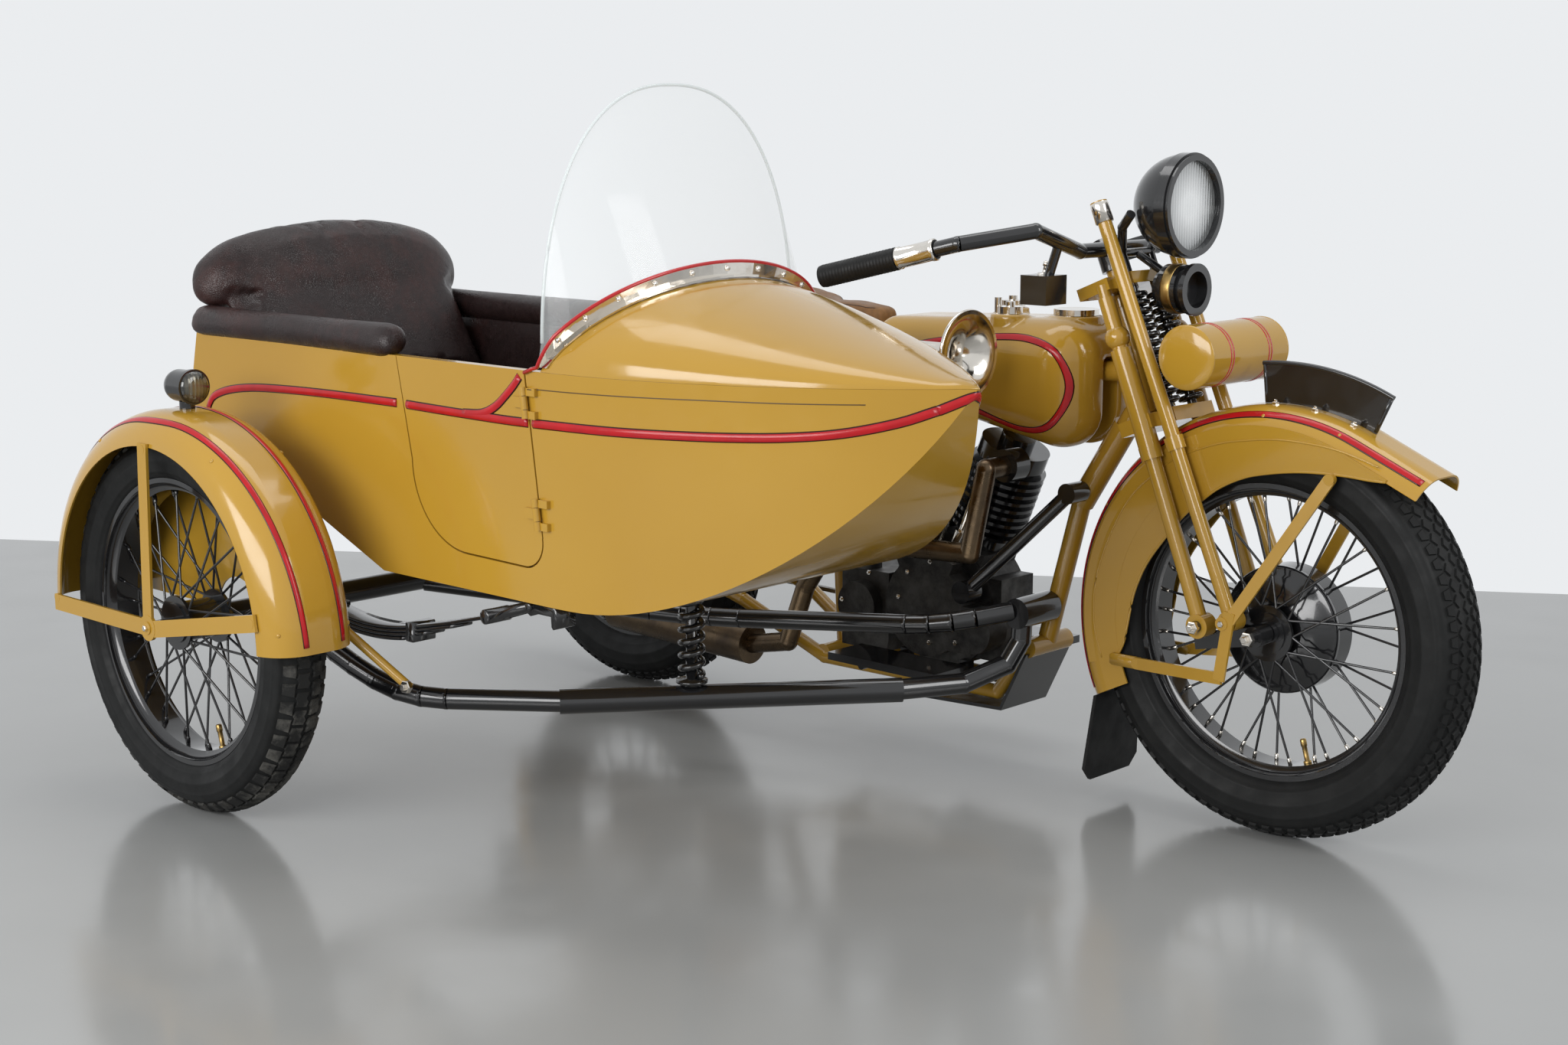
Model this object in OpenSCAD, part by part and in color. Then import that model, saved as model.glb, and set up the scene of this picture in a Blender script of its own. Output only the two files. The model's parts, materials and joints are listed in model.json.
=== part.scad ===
// Sidecar motorcycle: V-twin machine with a boat-shaped passenger car on its right side.
// Millimetres, +X forward, +Y left, +Z up, standing on z = 0.

/* [Layout] */
// Distance between the front and rear axles
wheelbase = 1524; // [1500:1:1560]
// Distance between the machine's and the sidecar's wheel planes
track = 1134; // [1130:1:1180]
// Sidecar axle ahead of the rear axle
side_lead = 124; // [110:1:140]

/* [Wheels] */
// Outer diameter of the front and rear tyres
tyre_d = 687; // [676:1:690]
// Section width of the front and rear tyres
tyre_w = 114; // [104:1:116]
// Outer diameter of the sidecar tyre
side_tyre_d = 660; // [650:1:664]
// Section width of the sidecar tyre
side_tyre_w = 102; // [96:1:106]
// Outer diameter of the rims
rim_d = 488; // [480:1:490]
// Width of the rims
rim_w = 76; // [70:1:78]
// Spokes in one wheel
spokes = 40; // [36:4:44]
// Spoke diameter
spoke_d = 4.2; // [3.5:0.1:5]
// Diameter of the wheel axles
axle_d = 20; // [18:1:22]
// Diameter of the brake drums
drum_d = 210; // [190:1:220]

/* [Steering] */
// Steering head angle from upright
rake = 22.5; // [21.5:0.5:23.5]
// Sideways distance of the fork legs from the middle
leg_y = 87; // [87:1:92]
// Diameter of the fork legs
leg_d = 27; // [24:0.5:28]
// Diameter of the handlebar tube
bar_d = 25.4; // [22:0.1:27]
// Sideways reach of the grip ends
bar_y = 405; // [390:1:420]
// Diameter of the grips
grip_d = 36; // [32:1:38]
// rubber grip length
grip_len = 143; // [130:1:150]
// twist sleeve length beside the grip
sleeve_len = 72; // [60:1:80]
// Diameter of the headlamp
lamp_d = 172; // [160:1:178]
// headlamp rim, from its outside to the glass
lamp_rim = 13; // [9:1:15]
// Diameter of the tool roll
roll_d = 104; // [96:1:108]
// Length of the tool roll
roll_len = 220; // [200:1:230]

/* [Fenders] */
// Sheet thickness of the fenders
fender_t = 3; // [2:0.5:4]
// Gap between a tyre and the fender crown
fender_gap = 26; // [22:1:30]
// Half width of the front and rear fenders
fender_y = 69; // [67:0.5:70]
// Half width of the sidecar fender
side_fender_y = 84; // [80:1:88]

/* [Machine] */
// Outer diameter of the frame tubes
frame_d = 34; // [30:1:36]
// Bore of the cylinders' barrels without fins
barrel_d = 96; // [90:1:100]
// Diameter over the cooling fins
fin_d = 138; // [130:1:142]
// Number of cooling fins on one barrel
fins = 9; // [7:1:10]
// Half width of the fuel tank
tank_y = 112; // [104:1:116]

/* [Sidecar] */
// Half width of the sidecar body
hull_y = 285; // [275:1:290]
// Height of the belt line
belt_z = 788; // [780:1:796]
// Wall thickness of the body and door
wall = 18; // [14:1:22]
// Gap around the door
door_gap = 3; // [2:0.5:4]
// Height of the cowl's ridge above the belt
cowl_h = 133; // [120:1:140]
// Sheet thickness of the cowl
cowl_t = 6; // [5:0.5:8]
// Height of the windscreen above the belt
screen_h = 425; // [400:5:440]
// Thickness of the windscreen
screen_t = 4; // [3:0.5:5]
// height of the strip that holds the windscreen
strip_h = 22; // [20:1:26]
// Thickness of the arm rolls
roll_h = 48; // [42:1:52]
// Diameter of the sidecar's frame tubes
chassis_d = 42; // [38:1:44]

/* [Hidden] */
$fn = 48;
// clearances: seated pieces, turning pieces
seat = 0.3;
turn = 0.3;
fr = tyre_d / 2;
sr = side_tyre_d / 2;
rim_r = rim_d / 2;
// reach of the tail lamp behind the rear axle, of the stay bolt beyond the sidecar wheel
tail_reach = 416;
bolt_reach = 97;
left_reach = bar_y + grip_d / 2;
front_x = (wheelbase + tail_reach - fr) / 2;
bike_y = (track + bolt_reach - left_reach) / 2;
side_x = side_lead - wheelbase;
// sidecar body: middle plane, start of the bow, nose, tail
hull_mid = -680;
bow_x = -700;
nose_x = -89;
tail_x = -1650;
bow_r = ((nose_x - bow_x) * (nose_x - bow_x) + hull_y * hull_y) / (2 * hull_y);
floor_z = 430;
keel_r = 600;
keel_x = -640;
cowl_n = 14;
arch_n = 24;
arch_reach = 115;
// fender radii
crown_r = fr + fender_gap;
side_crown_r = sr + fender_gap + 2;
// steering axis: a point on it and its direction
head_x = -285;
head_z = 770;
stem_d = 30;
// half width of the bosses at the fork legs' lower ends
boss = leg_d / 2 + 1.5;
// engine
crank = [-668, 0, 295];
vee = 22.5;
// door hinge line, on the outside of the wall
hinge_d = 12;
hinge_pin = 5;
hinge_out = hull_y + hinge_d / 2 + 1;
function door_edge(z) = -702 - 36 * (z - 535) / (belt_z - 535);
hinge_top = [door_edge(740) + door_gap / 2, 740];
hinge_low = [door_edge(572) + door_gap / 2, 572];

tan_paint = [0.72, 0.55, 0.19];
black = [0.05, 0.05, 0.05];
nickel = [0.75, 0.73, 0.68];
leather = [0.22, 0.08, 0.07];
brown = [0.45, 0.28, 0.12];
grey = [0.35, 0.35, 0.34];
rubber = [0.04, 0.04, 0.04];

// everything is laid out from the front wheel's contact point
module bike() {
    translate([front_x, bike_y, 0]) children();
}

// the sidecar body is laid out from its own middle plane
module car() {
    translate([front_x, bike_y + hull_mid, 0]) children();
}

module rod(a, b, d) {
    v = b - a;
    translate(a) rotate([0, acos(v[2] / norm(v)), atan2(v[1], v[0])]) cylinder(d = d, h = norm(v));
}

module pipe(pts, d) {
    for (i = [0 : len(pts) - 2]) rod(pts[i], pts[i + 1], d);
    for (i = [1 : len(pts) - 2]) translate(pts[i]) sphere(d = d + 0.8);
}

// the same route with each corner bent over r instead of mitred
function bent(pts, r) = [pts[0], for (i = [1 : len(pts) - 2])
    let (p = pts[i])
    let (a = pts[i - 1] - p)
    let (b = pts[i + 1] - p)
    let (s = min(r, norm(a) / 2.1, norm(b) / 2.1))
    let (u = p + a / norm(a) * s)
    let (w = p + b / norm(b) * s)
    each [u, (4 * u + 4 * p + w) / 9, (u + 4 * p + 4 * w) / 9, w], pts[len(pts) - 1]];

// flat bar from a to b, w wide in the upright plane, t thick sideways
module bar(a, b, w, t) {
    v = b - a;
    translate(a) rotate([0, atan2(v[0], v[2]), 0]) rotate([-asin(v[1] / norm(v)), 0, 0])
        translate([-w / 2, -t / 2, 0]) cube([w, t, norm(v)]);
}

module along_y(x, z, y0, y1, d) {
    translate([x, y0, z]) rotate([-90, 0, 0]) cylinder(d = d, h = y1 - y0);
}

// both sides of the machine
module pair() {
    children();
    mirror([0, 1, 0]) children();
}

// turn a profile of radius and width about a crosswise axis, from angle a0 to a1 above forward
module sweep(x, z, a0, a1) {
    translate([x, 0, z]) rotate([0, -a0, 0]) rotate([90, 0, 0])
        rotate_extrude(angle = a1 - a0, $fn = 96) children();
}

module ring(x, y, z) {
    translate([x, y, z]) rotate([90, 0, 0]) rotate_extrude($fn = 96) children();
}

// the front fender straightens at this angle above forward, and runs on for this length
tip_a = 66;
tip_len = 138;

// domed section of a fender: crown radius r1, lip radius r0, half width w, corner radius c
module dome(r0, r1, w, c) {
    intersection() {
        union() {
            translate([r0, -w]) square([max(r1 - c - r0, 0.01), 2 * w]);
            translate([r0, c - w]) square([r1 - r0, 2 * w - 2 * c]);
            for (s = [-1, 1]) translate([r1 - c, s * (w - c)]) circle(r = c);
        }
        translate([r0, -w - 1]) square([r1 - r0 + 1, 2 * w + 2]);
    }
}

module dome_shell(r0, r1, w, c, t) {
    difference() {
        dome(r0, r1, w, c);
        translate([-1, 0]) dome(r0, r1 + 1 - t, w - t, c - t);
    }
}

// steering axis point at a distance s up the axis from the head's middle
function on_axis(s, y) = [head_x - s * sin(rake), y, head_z + s * cos(rake)];

// wheels: x, y, z of the centre, outer radius, section width
module tyre(x, y, r, w) {
    ring(x, y, r) difference() {
        translate([r - w / 2, 0]) circle(d = w);
        translate([0, -w / 2]) square([rim_r + seat, w]);
    }
}

module wire_wheel(x, y, r, drum_side, drum_r) {
    hub_r = 34;
    flange_r = 46;
    flange_y = 38;
    ring(x, y, r) {
        difference() {
            translate([rim_r - 22, -rim_w / 2]) square([22, rim_w]);
            for (s = [-1, 1]) translate([rim_r - 26, s * rim_w / 2]) circle(r = 18);
            translate([rim_r - 6, -rim_w / 2 + 6]) square([7, rim_w - 12]);
        }
        translate([axle_d / 2 + turn, -44]) square([hub_r - axle_d / 2 - turn, 88]);
        for (s = [-1, 1]) translate([axle_d / 2 + turn, s * flange_y - 3]) square([flange_r - axle_d / 2 - turn, 6]);
    }
    if (drum_r > 0) ring(x, y, r) {
        translate([axle_d / 2 + turn, drum_side > 0 ? -46 : 6]) square([drum_r - axle_d / 2 - turn, 8]);
        translate([drum_r - 10, drum_side > 0 ? -46 : 6]) square([10, 40]);
    }
    for (i = [0 : spokes - 1]) {
        side = i % 2 == 0 ? 1 : -1;
        lean = floor(i / 2) % 2 == 0 ? 30 : -30;
        a = i * 360 / spokes;
        rod([x + (flange_r - 5) * cos(a + lean), y + side * flange_y, r + (flange_r - 5) * sin(a + lean)],
            [x + (rim_r - 12) * cos(a), y + side * 6, r + (rim_r - 12) * sin(a)], spoke_d);
    }
}

module front_tyre() {
    color(rubber) bike() tyre(0, 0, fr, tyre_w);
}

module front_wheel() {
    color(black) bike() wire_wheel(0, 0, fr, 1, drum_d / 2);
}

module rear_tyre() {
    color(rubber) bike() tyre(-wheelbase, 0, fr, tyre_w);
}

module rear_wheel() {
    color(black) bike() wire_wheel(-wheelbase, 0, fr, 1, drum_d / 2);
}

module side_tyre() {
    color(rubber) bike() tyre(side_x, -track, sr, side_tyre_w);
}

module side_wheel() {
    color(black) bike() wire_wheel(side_x, -track, sr, 1, 0);
}

// machine frame
module frame() {
    rear = [-wheelbase, 0, fr];
    color(tan_paint) bike() {
        difference() {
            union() {
                rod(on_axis(-98, 0), on_axis(105, 0), 54);
                rod(on_axis(-98, 0), on_axis(-78, 0), 60);
                rod(on_axis(85, 0), on_axis(105, 0), 60);
                pipe([[-285, 0, 690], [-399, 0, 507], [-469, 0, 245]], frame_d);
                rod([-310, 0, 650], [-399, 0, 507], frame_d + 10);
                rod([-296, 0, 742], [-975, 0, 700], frame_d);
            }
            rod(on_axis(-170, 0), on_axis(130, 0), stem_d + 2 * turn);
        }
        rod([-975, 0, 730], [-945, 0, 150], frame_d);
        along_y(-469, 245, -56, 56, frame_d + 2);
        along_y(-945, 160, -66, 66, frame_d);
        pair() pipe([[-469, 46, 245], [-540, 46, 152], [-945, 60, 152], [-1130, 92, 240],
            [-wheelbase, 92, fr]], frame_d - 8);
        pair() pipe([[-968, 0, 610], [-1080, 92, 575], [-wheelbase, 92, fr]], frame_d - 10);
        pair() along_y(-wheelbase, fr, 82, 102, 62);
        pair() translate([-1080, 92, 575]) cylinder(d = 22, h = 17);
        along_y(-wheelbase, fr, -112, 112, axle_d);
        pair() along_y(-wheelbase, fr, 47, 84, axle_d + 12);
        // skid plate below the crankcase
        translate([0, 65, 0]) rotate([90, 0, 0]) linear_extrude(130) {
            polygon([[-470, 234], [-464, 234], [-518, 126], [-700, 118], [-700, 122], [-520, 130]]);
        }
    }
}

// engine
module crankcase() {
    color(grey) bike() difference() {
        union() {
            along_y(crank[0], crank[2], -52, 52, 232);
            translate([crank[0] - 40, -46, crank[2] - 90]) cube([172, 92, 150]);
            for (s = [-1, 1]) translate(crank) rotate([0, s * vee, 0]) translate([-50, -50, 0]) cube([100, 100, 132]);
        }
        for (s = [-1, 1]) translate(crank) rotate([0, s * vee, 0]) translate([0, 0, 128]) cylinder(d = barrel_d + 60, h = 60);
        along_y(-469, 245, -70, 70, frame_d + 4);
    }
}

module cylinders() {
    pitch = 15;
    color(black) bike() for (s = [-1, 1]) translate(crank) rotate([0, s * vee, 0]) translate([0, 0, 128 + seat]) {
        rotate_extrude($fn = 64) {
            square([barrel_d / 2, 52 + fins * pitch]);
            for (i = [0 : fins - 1]) translate([0, 30 + i * pitch]) square([fin_d / 2, 6]);
            translate([0, 30 + fins * pitch]) square([fin_d / 2 - 6, 30]);
        }
        translate([0, 0, 60 + fins * pitch]) cylinder(d = 62, h = 18);
        translate([s * 44, -44, 50 + fins * pitch]) rotate([90, 0, 0]) cylinder(d = 58, h = 38);
    }
}

module pushrod_tubes() {
    color(nickel) bike() {
        for (s = [-1, 1]) translate(crank) rotate([0, s * vee, 0]) for (p = [[-s * 30, 11], [s * 12, 13]])
            translate([p[0], -88, 112]) cylinder(d = p[1], h = 176);
        for (s = [-1, 1]) translate(crank) rotate([0, s * vee, 0]) for (p = [[-s * 30, 22], [s * 12, 24]])
            translate([p[0], -88, 106]) cylinder(d = p[1], h = 60);
    }
}

module timing_cover() {
    y1 = -52 - seat;
    color(grey) bike() {
        along_y(crank[0], crank[2], -102, y1, 178);
        translate([crank[0], -102, crank[2] - 70]) cube([110, 102 + y1, 85]);
        along_y(crank[0] + 110, crank[2] - 27, -102, y1, 82);
        for (s = [-1, 1]) translate(crank) rotate([0, s * vee, 0]) translate([s > 0 ? -44 : -28, -102, 40])
            cube([72, 28, 66 - seat]);
    }
}

module carburettor() {
    color([0.62, 0.5, 0.24]) bike() {
        along_y(crank[0], 500, -80, 10, 19);
        along_y(crank[0], 500, -150, -78, 34);
        translate([crank[0], -128, 452]) cylinder(d = 54, h = 74);
        along_y(crank[0], 500, -186, -150, 62);
    }
}

module gearbox() {
    color(grey) bike() {
        difference() {
            translate([-900, -62, 186]) cube([115, 124, 150]);
            translate([-790, -90, 186]) rotate([0, 12, 0]) cube([60, 180, 160]);
        }
        along_y(-845, 270, 62, 78, 110);
        along_y(-845, 270, -86, -62, 90);
        translate([-860, -40, 336]) cylinder(d = 60, h = 26);
        // primary drive cover
        along_y(crank[0], crank[2], 52 + seat, 96, 150);
        along_y(-845, 285, 78, 96, 150);
        translate([-845, 78, 210]) cube([845 + crank[0], 18, 150]);
    }
}

module drive_chain() {
    rear_r = 96;
    front_r = 52;
    color(grey) bike() {
        for (w = [[-845, 285, front_r + 8], [-wheelbase, fr, rear_r + 12]])
            translate([w[0], 121.5, w[1]]) rotate([90, 0, 0]) difference() {
                cylinder(r = w[2] + 3, h = 11);
                translate([0, 0, -1]) cylinder(r = w[2] - 12, h = 13);
            }
        along_y(-845, 285, 96 + seat, 120.5, 2 * front_r + 4);
        for (s = [-1, 1]) bar([-845, 116, 285 + s * (front_r + 4)], [-wheelbase, 116, fr + s * (rear_r + 8)], 8, 10);
    }
}

module exhaust() {
    color(grey) bike() {
        pipe([[-508, -82 - seat, 567], [-508, -130, 567], [-540, -132, 415], [-860, -132, 400], [-930, -132, 300],
            [-970, -136, 190], [-1060, -142, 172]], 36);
        pipe([[-828, -82 - seat, 567], [-828, -130, 567], [-862, -132, 402]], 36);
        rod([-1058, -142, 172], [-1430, -148, 186], 78);
        rod([-1428, -148, 186], [-1560, -150, 192], 34);
    }
}

module footboards() {
    color(black) bike() pair() {
        translate([-800, 120, 197]) cube([250, 92, 14]);
        for (x = [-740, -600]) along_y(x, 192, 53, 190, 16);
        for (x = [-740, -600]) translate([x - 10, 53, 165 + seat]) cube([20, 16, 38]);
    }
}

// tank, seat, rear end
module fuel_tank() {
    color(tan_paint) bike() difference() {
        union() {
            hull() {
                for (s = [-1, 1]) {
                    for (z = [676, 758]) translate([-412, s * (tank_y - 70), z]) sphere(r = 70, $fn = 32);
                    for (z = [715, 770]) translate([-776, s * (tank_y - 63), z]) sphere(r = 41, $fn = 32);
                }
            }
            for (c = [[-520, -56, 34], [-600, 56, 30], [-420, 0, 46]]) translate([c[0], c[1], 790]) cylinder(r = c[2], h = 40);
        }
        translate([-1000, -frame_d / 2 - 4, 500]) cube([760, frame_d + 8, 262]);
        rod(on_axis(-200, 0), on_axis(160, 0), 66);
    }
}

module tank_caps() {
    color(nickel) bike() translate([0, 0, 830 + seat]) {
        for (c = [[-520, -56, 44], [-600, 56, 44]]) translate([c[0], c[1], 0]) {
            cylinder(d = c[2], h = 12);
            translate([0, 0, 12]) cylinder(d = 16, h = 8);
        }
        translate([-420, 0, 0]) cylinder(d = 78, h = 10);
        translate([-546, -56, 0]) cylinder(d = 13, h = 26);
    }
}

module saddle() {
    color(brown) bike() hull() {
        translate([-850, 0, 800]) sphere(r = 22, $fn = 24);
        translate([-930, 0, 806]) scale(1) sphere(r = 26, $fn = 24);
        for (s = [-1, 1]) translate([-1070, s * 98, 804]) sphere(r = 30, $fn = 24);
        for (s = [-1, 1]) translate([-1128, s * 72, 818]) sphere(r = 26, $fn = 24);
    }
}

module saddle_mount() {
    color(black) bike() {
        rod([-975.5, 0, 731.2 + seat], [-976, 0, 772], 26);
        rod([-860, 0, 766], [-1090, 0, 752], 18);
        rod([-1090, -92, 752], [-1090, 92, 752], 18);
        pair() translate([-1088, 86, 612]) rotate_extrude() {
            square([9, 150]);
            for (i = [0 : 9]) translate([18, 16 + i * 12]) circle(d = 8);
            for (i = [0 : 9]) translate([0, 15 + i * 12]) square([18, 2]);
        }
        pair() translate([-1080, 92, 592 + seat]) cylinder(d = 20, h = 24);
    }
}

module rear_fender() {
    stays = [[-wheelbase - 221, fr + 220.5], [-wheelbase - 282, fr + 131.5]];
    color(tan_paint) bike() {
        sweep(-wheelbase, fr, 14, 196) dome_shell(crown_r - 70, crown_r, fender_y, 50, fender_t);
        pair() for (a = stays) bar([-wheelbase - 8, 107, fr + 14], [a[0], 75, a[1]], 20, 4);
        pair() for (a = stays) along_y(a[0], a[1], fender_y - 1.5, 80, 13);
        rod([-wheelbase + crown_r * cos(24), 0, fr + crown_r * sin(24) + 2], [-1062, 0, 690], 22);
    }
}

module rear_plate() {
    color(black) bike() difference() {
        union() {
            translate([-wheelbase - crown_r - 16, -90, 440]) cube([4, 180, 110]);
            translate([-wheelbase - crown_r - 12, -14, 440]) cube([26, 28, 20]);
        }
        for (s = [-1, 1]) translate([-wheelbase - crown_r - 30, s * 62, 525]) rotate([0, 90, 0]) cylinder(d = 7, h = 30);
        along_ring();
    }
    color(black) bike() {
        translate([-wheelbase - tail_reach, 0, 585]) rotate([0, 90, 0]) cylinder(d = 62, h = 34);
        translate([-wheelbase - tail_reach + 34, -10, 575]) cube([30, 20, 20]);
        translate([-wheelbase - tail_reach + 14, -10, 540]) cube([19, 20, 32]);
    }
}

module along_ring() {
    ring(-wheelbase, 0, fr) translate([0, -100]) square([crown_r + seat, 200]);
}

// bell with its mouth forward, on a bracket from the sidecar's left side
module trumpet_horn() {
    color(nickel) bike() {
        translate([-452 + 24, -250, 778]) rotate([0, -90, 0]) rotate_extrude($fn = 64) {
            intersection() {
                difference() {
                    translate([78, 88]) circle(r = 65, $fn = 96);
                    translate([78, 88]) circle(r = 62, $fn = 96);
                }
                translate([0, 24]) square([73, 64]);
            }
            translate([13, 87]) square([3, 137]);
            translate([72, 27]) circle(d = 6);
        }
        rod([-640, -265, 778], [-640, hull_mid + hull_y + seat, 742], 12);
    }
}

module horn_bulb() {
    color(rubber) bike() translate([-452 - 200 - seat, -250, 778]) rotate([0, -90, 0]) {
        cylinder(d = 30, h = 26);
        translate([0, 0, 62]) sphere(d = 92);
    }
}

// sidecar chassis
module sidecar_frame() {
    axle_y = -track + 48;
    beam_end = -340;
    color(black) bike() {
        along_y(side_x, sr, axle_y, beam_end, chassis_d);
        along_y(side_x, sr, -track - side_fender_y - 5 + seat, axle_y + 10, axle_d);
        pipe(bent([[side_x + 8, -960, sr - 8], [side_x + 150, -945, 250], [side_x + 277, -910, 200], [-907, -741, 200]],
            70), chassis_d - 6);
        rod([-916, -752, 200], [-552, -297, 200], chassis_d);
        pipe([[-562, -309, 200], [-507, -186, 199], [-470, -112, 226], [-456, -92, 268], [-454, -90, 318]], chassis_d - 6);
        pipe(bent([[side_x + 8, -660, sr - 6], [-1015, -330, 262], [-547, -206, 299], [-466, -106, 320]], 90), chassis_d - 8);
        // front clamp on the down tube, upper strut with its bolt
        along_y(-452, 318, -112, -frame_d / 2 - seat, 54);
        rod([-568, -104, 340], [-386, -50, 532], 26);
        along_y(-568, 340, -122, -86, 40);
        along_y(-385, 530, -66, -22 - seat, 36);
        // rear clamp to the machine's rear frame
        pipe([[side_x + 4, beam_end + 30, sr - 4], [-1320, -210, 290], [-1290, -116, 282]], 30);
        along_y(-1290, 282, -126, -92 - (frame_d - 8) / 2 - seat, 56);
    }
}

module sidecar_springs() {
    foot = 200 + chassis_d / 2 + seat;
    leaf_z = sr + chassis_d / 2 + seat;
    color(black) bike() {
        translate([-777, -578, foot]) rotate_extrude() {
            square([10, floor_z - foot - seat]);
            for (i = [0 : 6]) translate([18, 22 + i * 20]) circle(d = 12);
            for (i = [0 : 6]) translate([0, 20 + i * 20]) square([18, 4]);
            translate([0, floor_z - foot - 22]) square([30, 22 - seat]);
        }
        for (y = [-930, -430]) {
            for (i = [0 : 3]) translate([side_x - 25, y - 22, leaf_z + i * 8]) cube([735 - i * 130, 44, 8]);
            translate([side_x + 672, y - 22, leaf_z]) cube([38, 44, floor_z - leaf_z - seat]);
        }
    }
}

// plan of the sidecar body, inset by g
module car_plan(g) {
    translate([tail_x + g, g - hull_y]) square([bow_x - tail_x - g, 2 * hull_y - 2 * g]);
    intersection() {
        translate([bow_x, bow_r - hull_y]) circle(r = bow_r - g, $fn = 180);
        translate([bow_x, hull_y - bow_r]) circle(r = bow_r - g, $fn = 180);
        translate([bow_x - 1, -hull_y]) square([900, 2 * hull_y]);
    }
}

// side view of the sidecar body, inset by g at the bottom and tail, up to height z
module car_side(g, z) {
    difference() {
        polygon([[keel_x, floor_z + g], [-1102, floor_z + g], [tail_x - 15 + g, 652 + g], [tail_x + 18 + g, z],
            [nose_x + 40, z], [nose_x + 40, floor_z + g]]);
        difference() {
            translate([keel_x, floor_z - 10]) square([800, 500]);
            translate([keel_x, floor_z + keel_r]) circle(r = keel_r - g, $fn = 180);
            translate([keel_x - 1, floor_z + keel_r]) square([900, 500]);
        }
    }
}

module car_solid(g, z) {
    intersection() {
        translate([0, 0, floor_z - 20]) linear_extrude(600) car_plan(g);
        translate([0, 400, 0]) rotate([90, 0, 0]) linear_extrude(800) car_side(g, z);
    }
}

// door outline in side view, grown by g
module door_outline(g) {
    polygon([[-738 + g, belt_z + 2 * g], [-1052 - g, belt_z + 2 * g], [-1016 - g, 625], [-880, 489 - g], [-742, 487 - g],
        [-702 + g, 535]]);
    translate([-880, 625]) circle(r = 136 + g);
    translate([-742, 527]) circle(r = 40 + g);
}

module door_block(g, depth) {
    translate([0, -hull_y + depth, 0]) rotate([90, 0, 0]) linear_extrude(depth + 5) door_outline(g);
}

// knuckles along the hinge line: from, to, as distances below the upper hinge point
module knuckle(s0, s1, d) {
    v = [hinge_low[0] - hinge_top[0], 0, hinge_low[1] - hinge_top[1]] / norm(hinge_low - hinge_top);
    p = [hinge_top[0], -hinge_out, hinge_top[1]];
    rod(p + v * s0, p + v * s1, d);
}

hinge_len = norm(hinge_low - hinge_top);

module sidecar_hull() {
    color(tan_paint) car() {
        difference() {
            car_solid(0, belt_z);
            difference() {
                car_solid(wall, belt_z + 10);
                translate([-300, -400, 300]) cube([400, 800, 300]);
            }
            door_block(door_gap, wall + 8);
        }
        for (h = [0, hinge_len]) {
            knuckle(h - 24, h - 11, hinge_d);
            knuckle(h + 11, h + 24, hinge_d);
            knuckle(h - 24, h + 24, hinge_pin);
        }
        for (h = [[hinge_top, -24], [hinge_top, 11], [hinge_low, -24], [hinge_low, 11]])
            translate([h[0][0] + 4, -hinge_out, h[0][1] - h[1] - 13]) cube([20, hinge_d / 2 + 2, 12]);
    }
}

module sidecar_door() {
    color(tan_paint) car() {
        difference() {
            intersection() {
                door_block(0, wall);
                translate([-2000, -hull_y, 300]) cube([2000, wall, belt_z - 300]);
            }
        }
        for (h = [0, hinge_len]) difference() {
            union() {
                knuckle(h - 10, h + 10, hinge_d);
                translate([(h == 0 ? hinge_top[0] : hinge_low[0]) - 28, -hinge_out, (h == 0 ? hinge_top[1] : hinge_low[1]) - 8])
                    cube([24, hinge_d / 2 + 2, 16]);
            }
            knuckle(h - 30, h + 30, hinge_pin + 2 * turn);
        }
    }
}

// cowl: station j of n from the nose to the screen, angle a across the arch
function half_w(x) = x <= bow_x ? hull_y : max(0, sqrt(bow_r * bow_r - (x - bow_x) * (x - bow_x)) - bow_r + hull_y);
function cowl_pt(s, a, g) =
    let (xb = nose_x + (bow_x - nose_x) * s)
    let (w = max(half_w(xb) - g, 0.5))
    let (h = max(cowl_h * (1 - pow(max(1 - s, 0), 1.25)) - g, 0.5))
    [xb + arch_reach * s * s * sin(a), -w * cos(a), belt_z + seat + h * sin(a)];

// faces listed the other way round
function back_to_front(faces) = [for (f = faces) [for (i = [len(f) - 1 : -1 : 0]) f[i]]];

module cowl_solid(g, s0, s1, down) {
    pts = [for (j = [0 : cowl_n]) for (i = [0 : arch_n]) cowl_pt(s0 + (s1 - s0) * j / cowl_n, 180 * i / arch_n, g)];
    low = [for (j = [0 : cowl_n]) for (i = [0, arch_n]) pts[j * (arch_n + 1) + i] - [0, 0, down]];
    m = arch_n + 1;
    k = (cowl_n + 1) * m;
    skin = [for (j = [0 : cowl_n - 1]) for (i = [0 : arch_n - 1])
        each [[j * m + i, j * m + i + 1, (j + 1) * m + i], [j * m + i + 1, (j + 1) * m + i + 1, (j + 1) * m + i]]];
    sides = [for (j = [0 : cowl_n - 1]) each [
        [j * m, (j + 1) * m, k + 2 * j], [(j + 1) * m, k + 2 * j + 2, k + 2 * j],
        [j * m + arch_n, k + 2 * j + 1, (j + 1) * m + arch_n], [(j + 1) * m + arch_n, k + 2 * j + 1, k + 2 * j + 3],
        [k + 2 * j, k + 2 * j + 2, k + 2 * j + 1], [k + 2 * j + 1, k + 2 * j + 2, k + 2 * j + 3]]];
    front = concat([k], [k + 1], [for (i = [arch_n : -1 : 0]) i]);
    back = concat([k + 2 * cowl_n + 1], [k + 2 * cowl_n], [for (i = [0 : arch_n]) cowl_n * m + i]);
    polyhedron(concat(pts, low), back_to_front(concat(skin, sides, [front, back])), convexity = 4);
}

module sidecar_cowl() {
    color(tan_paint) car() difference() {
        cowl_solid(0, 0, 1, 0.02);
        translate([0, 0, -0.1]) cowl_solid(cowl_t, 0.06, 1.12, 3);
    }
}

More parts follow.
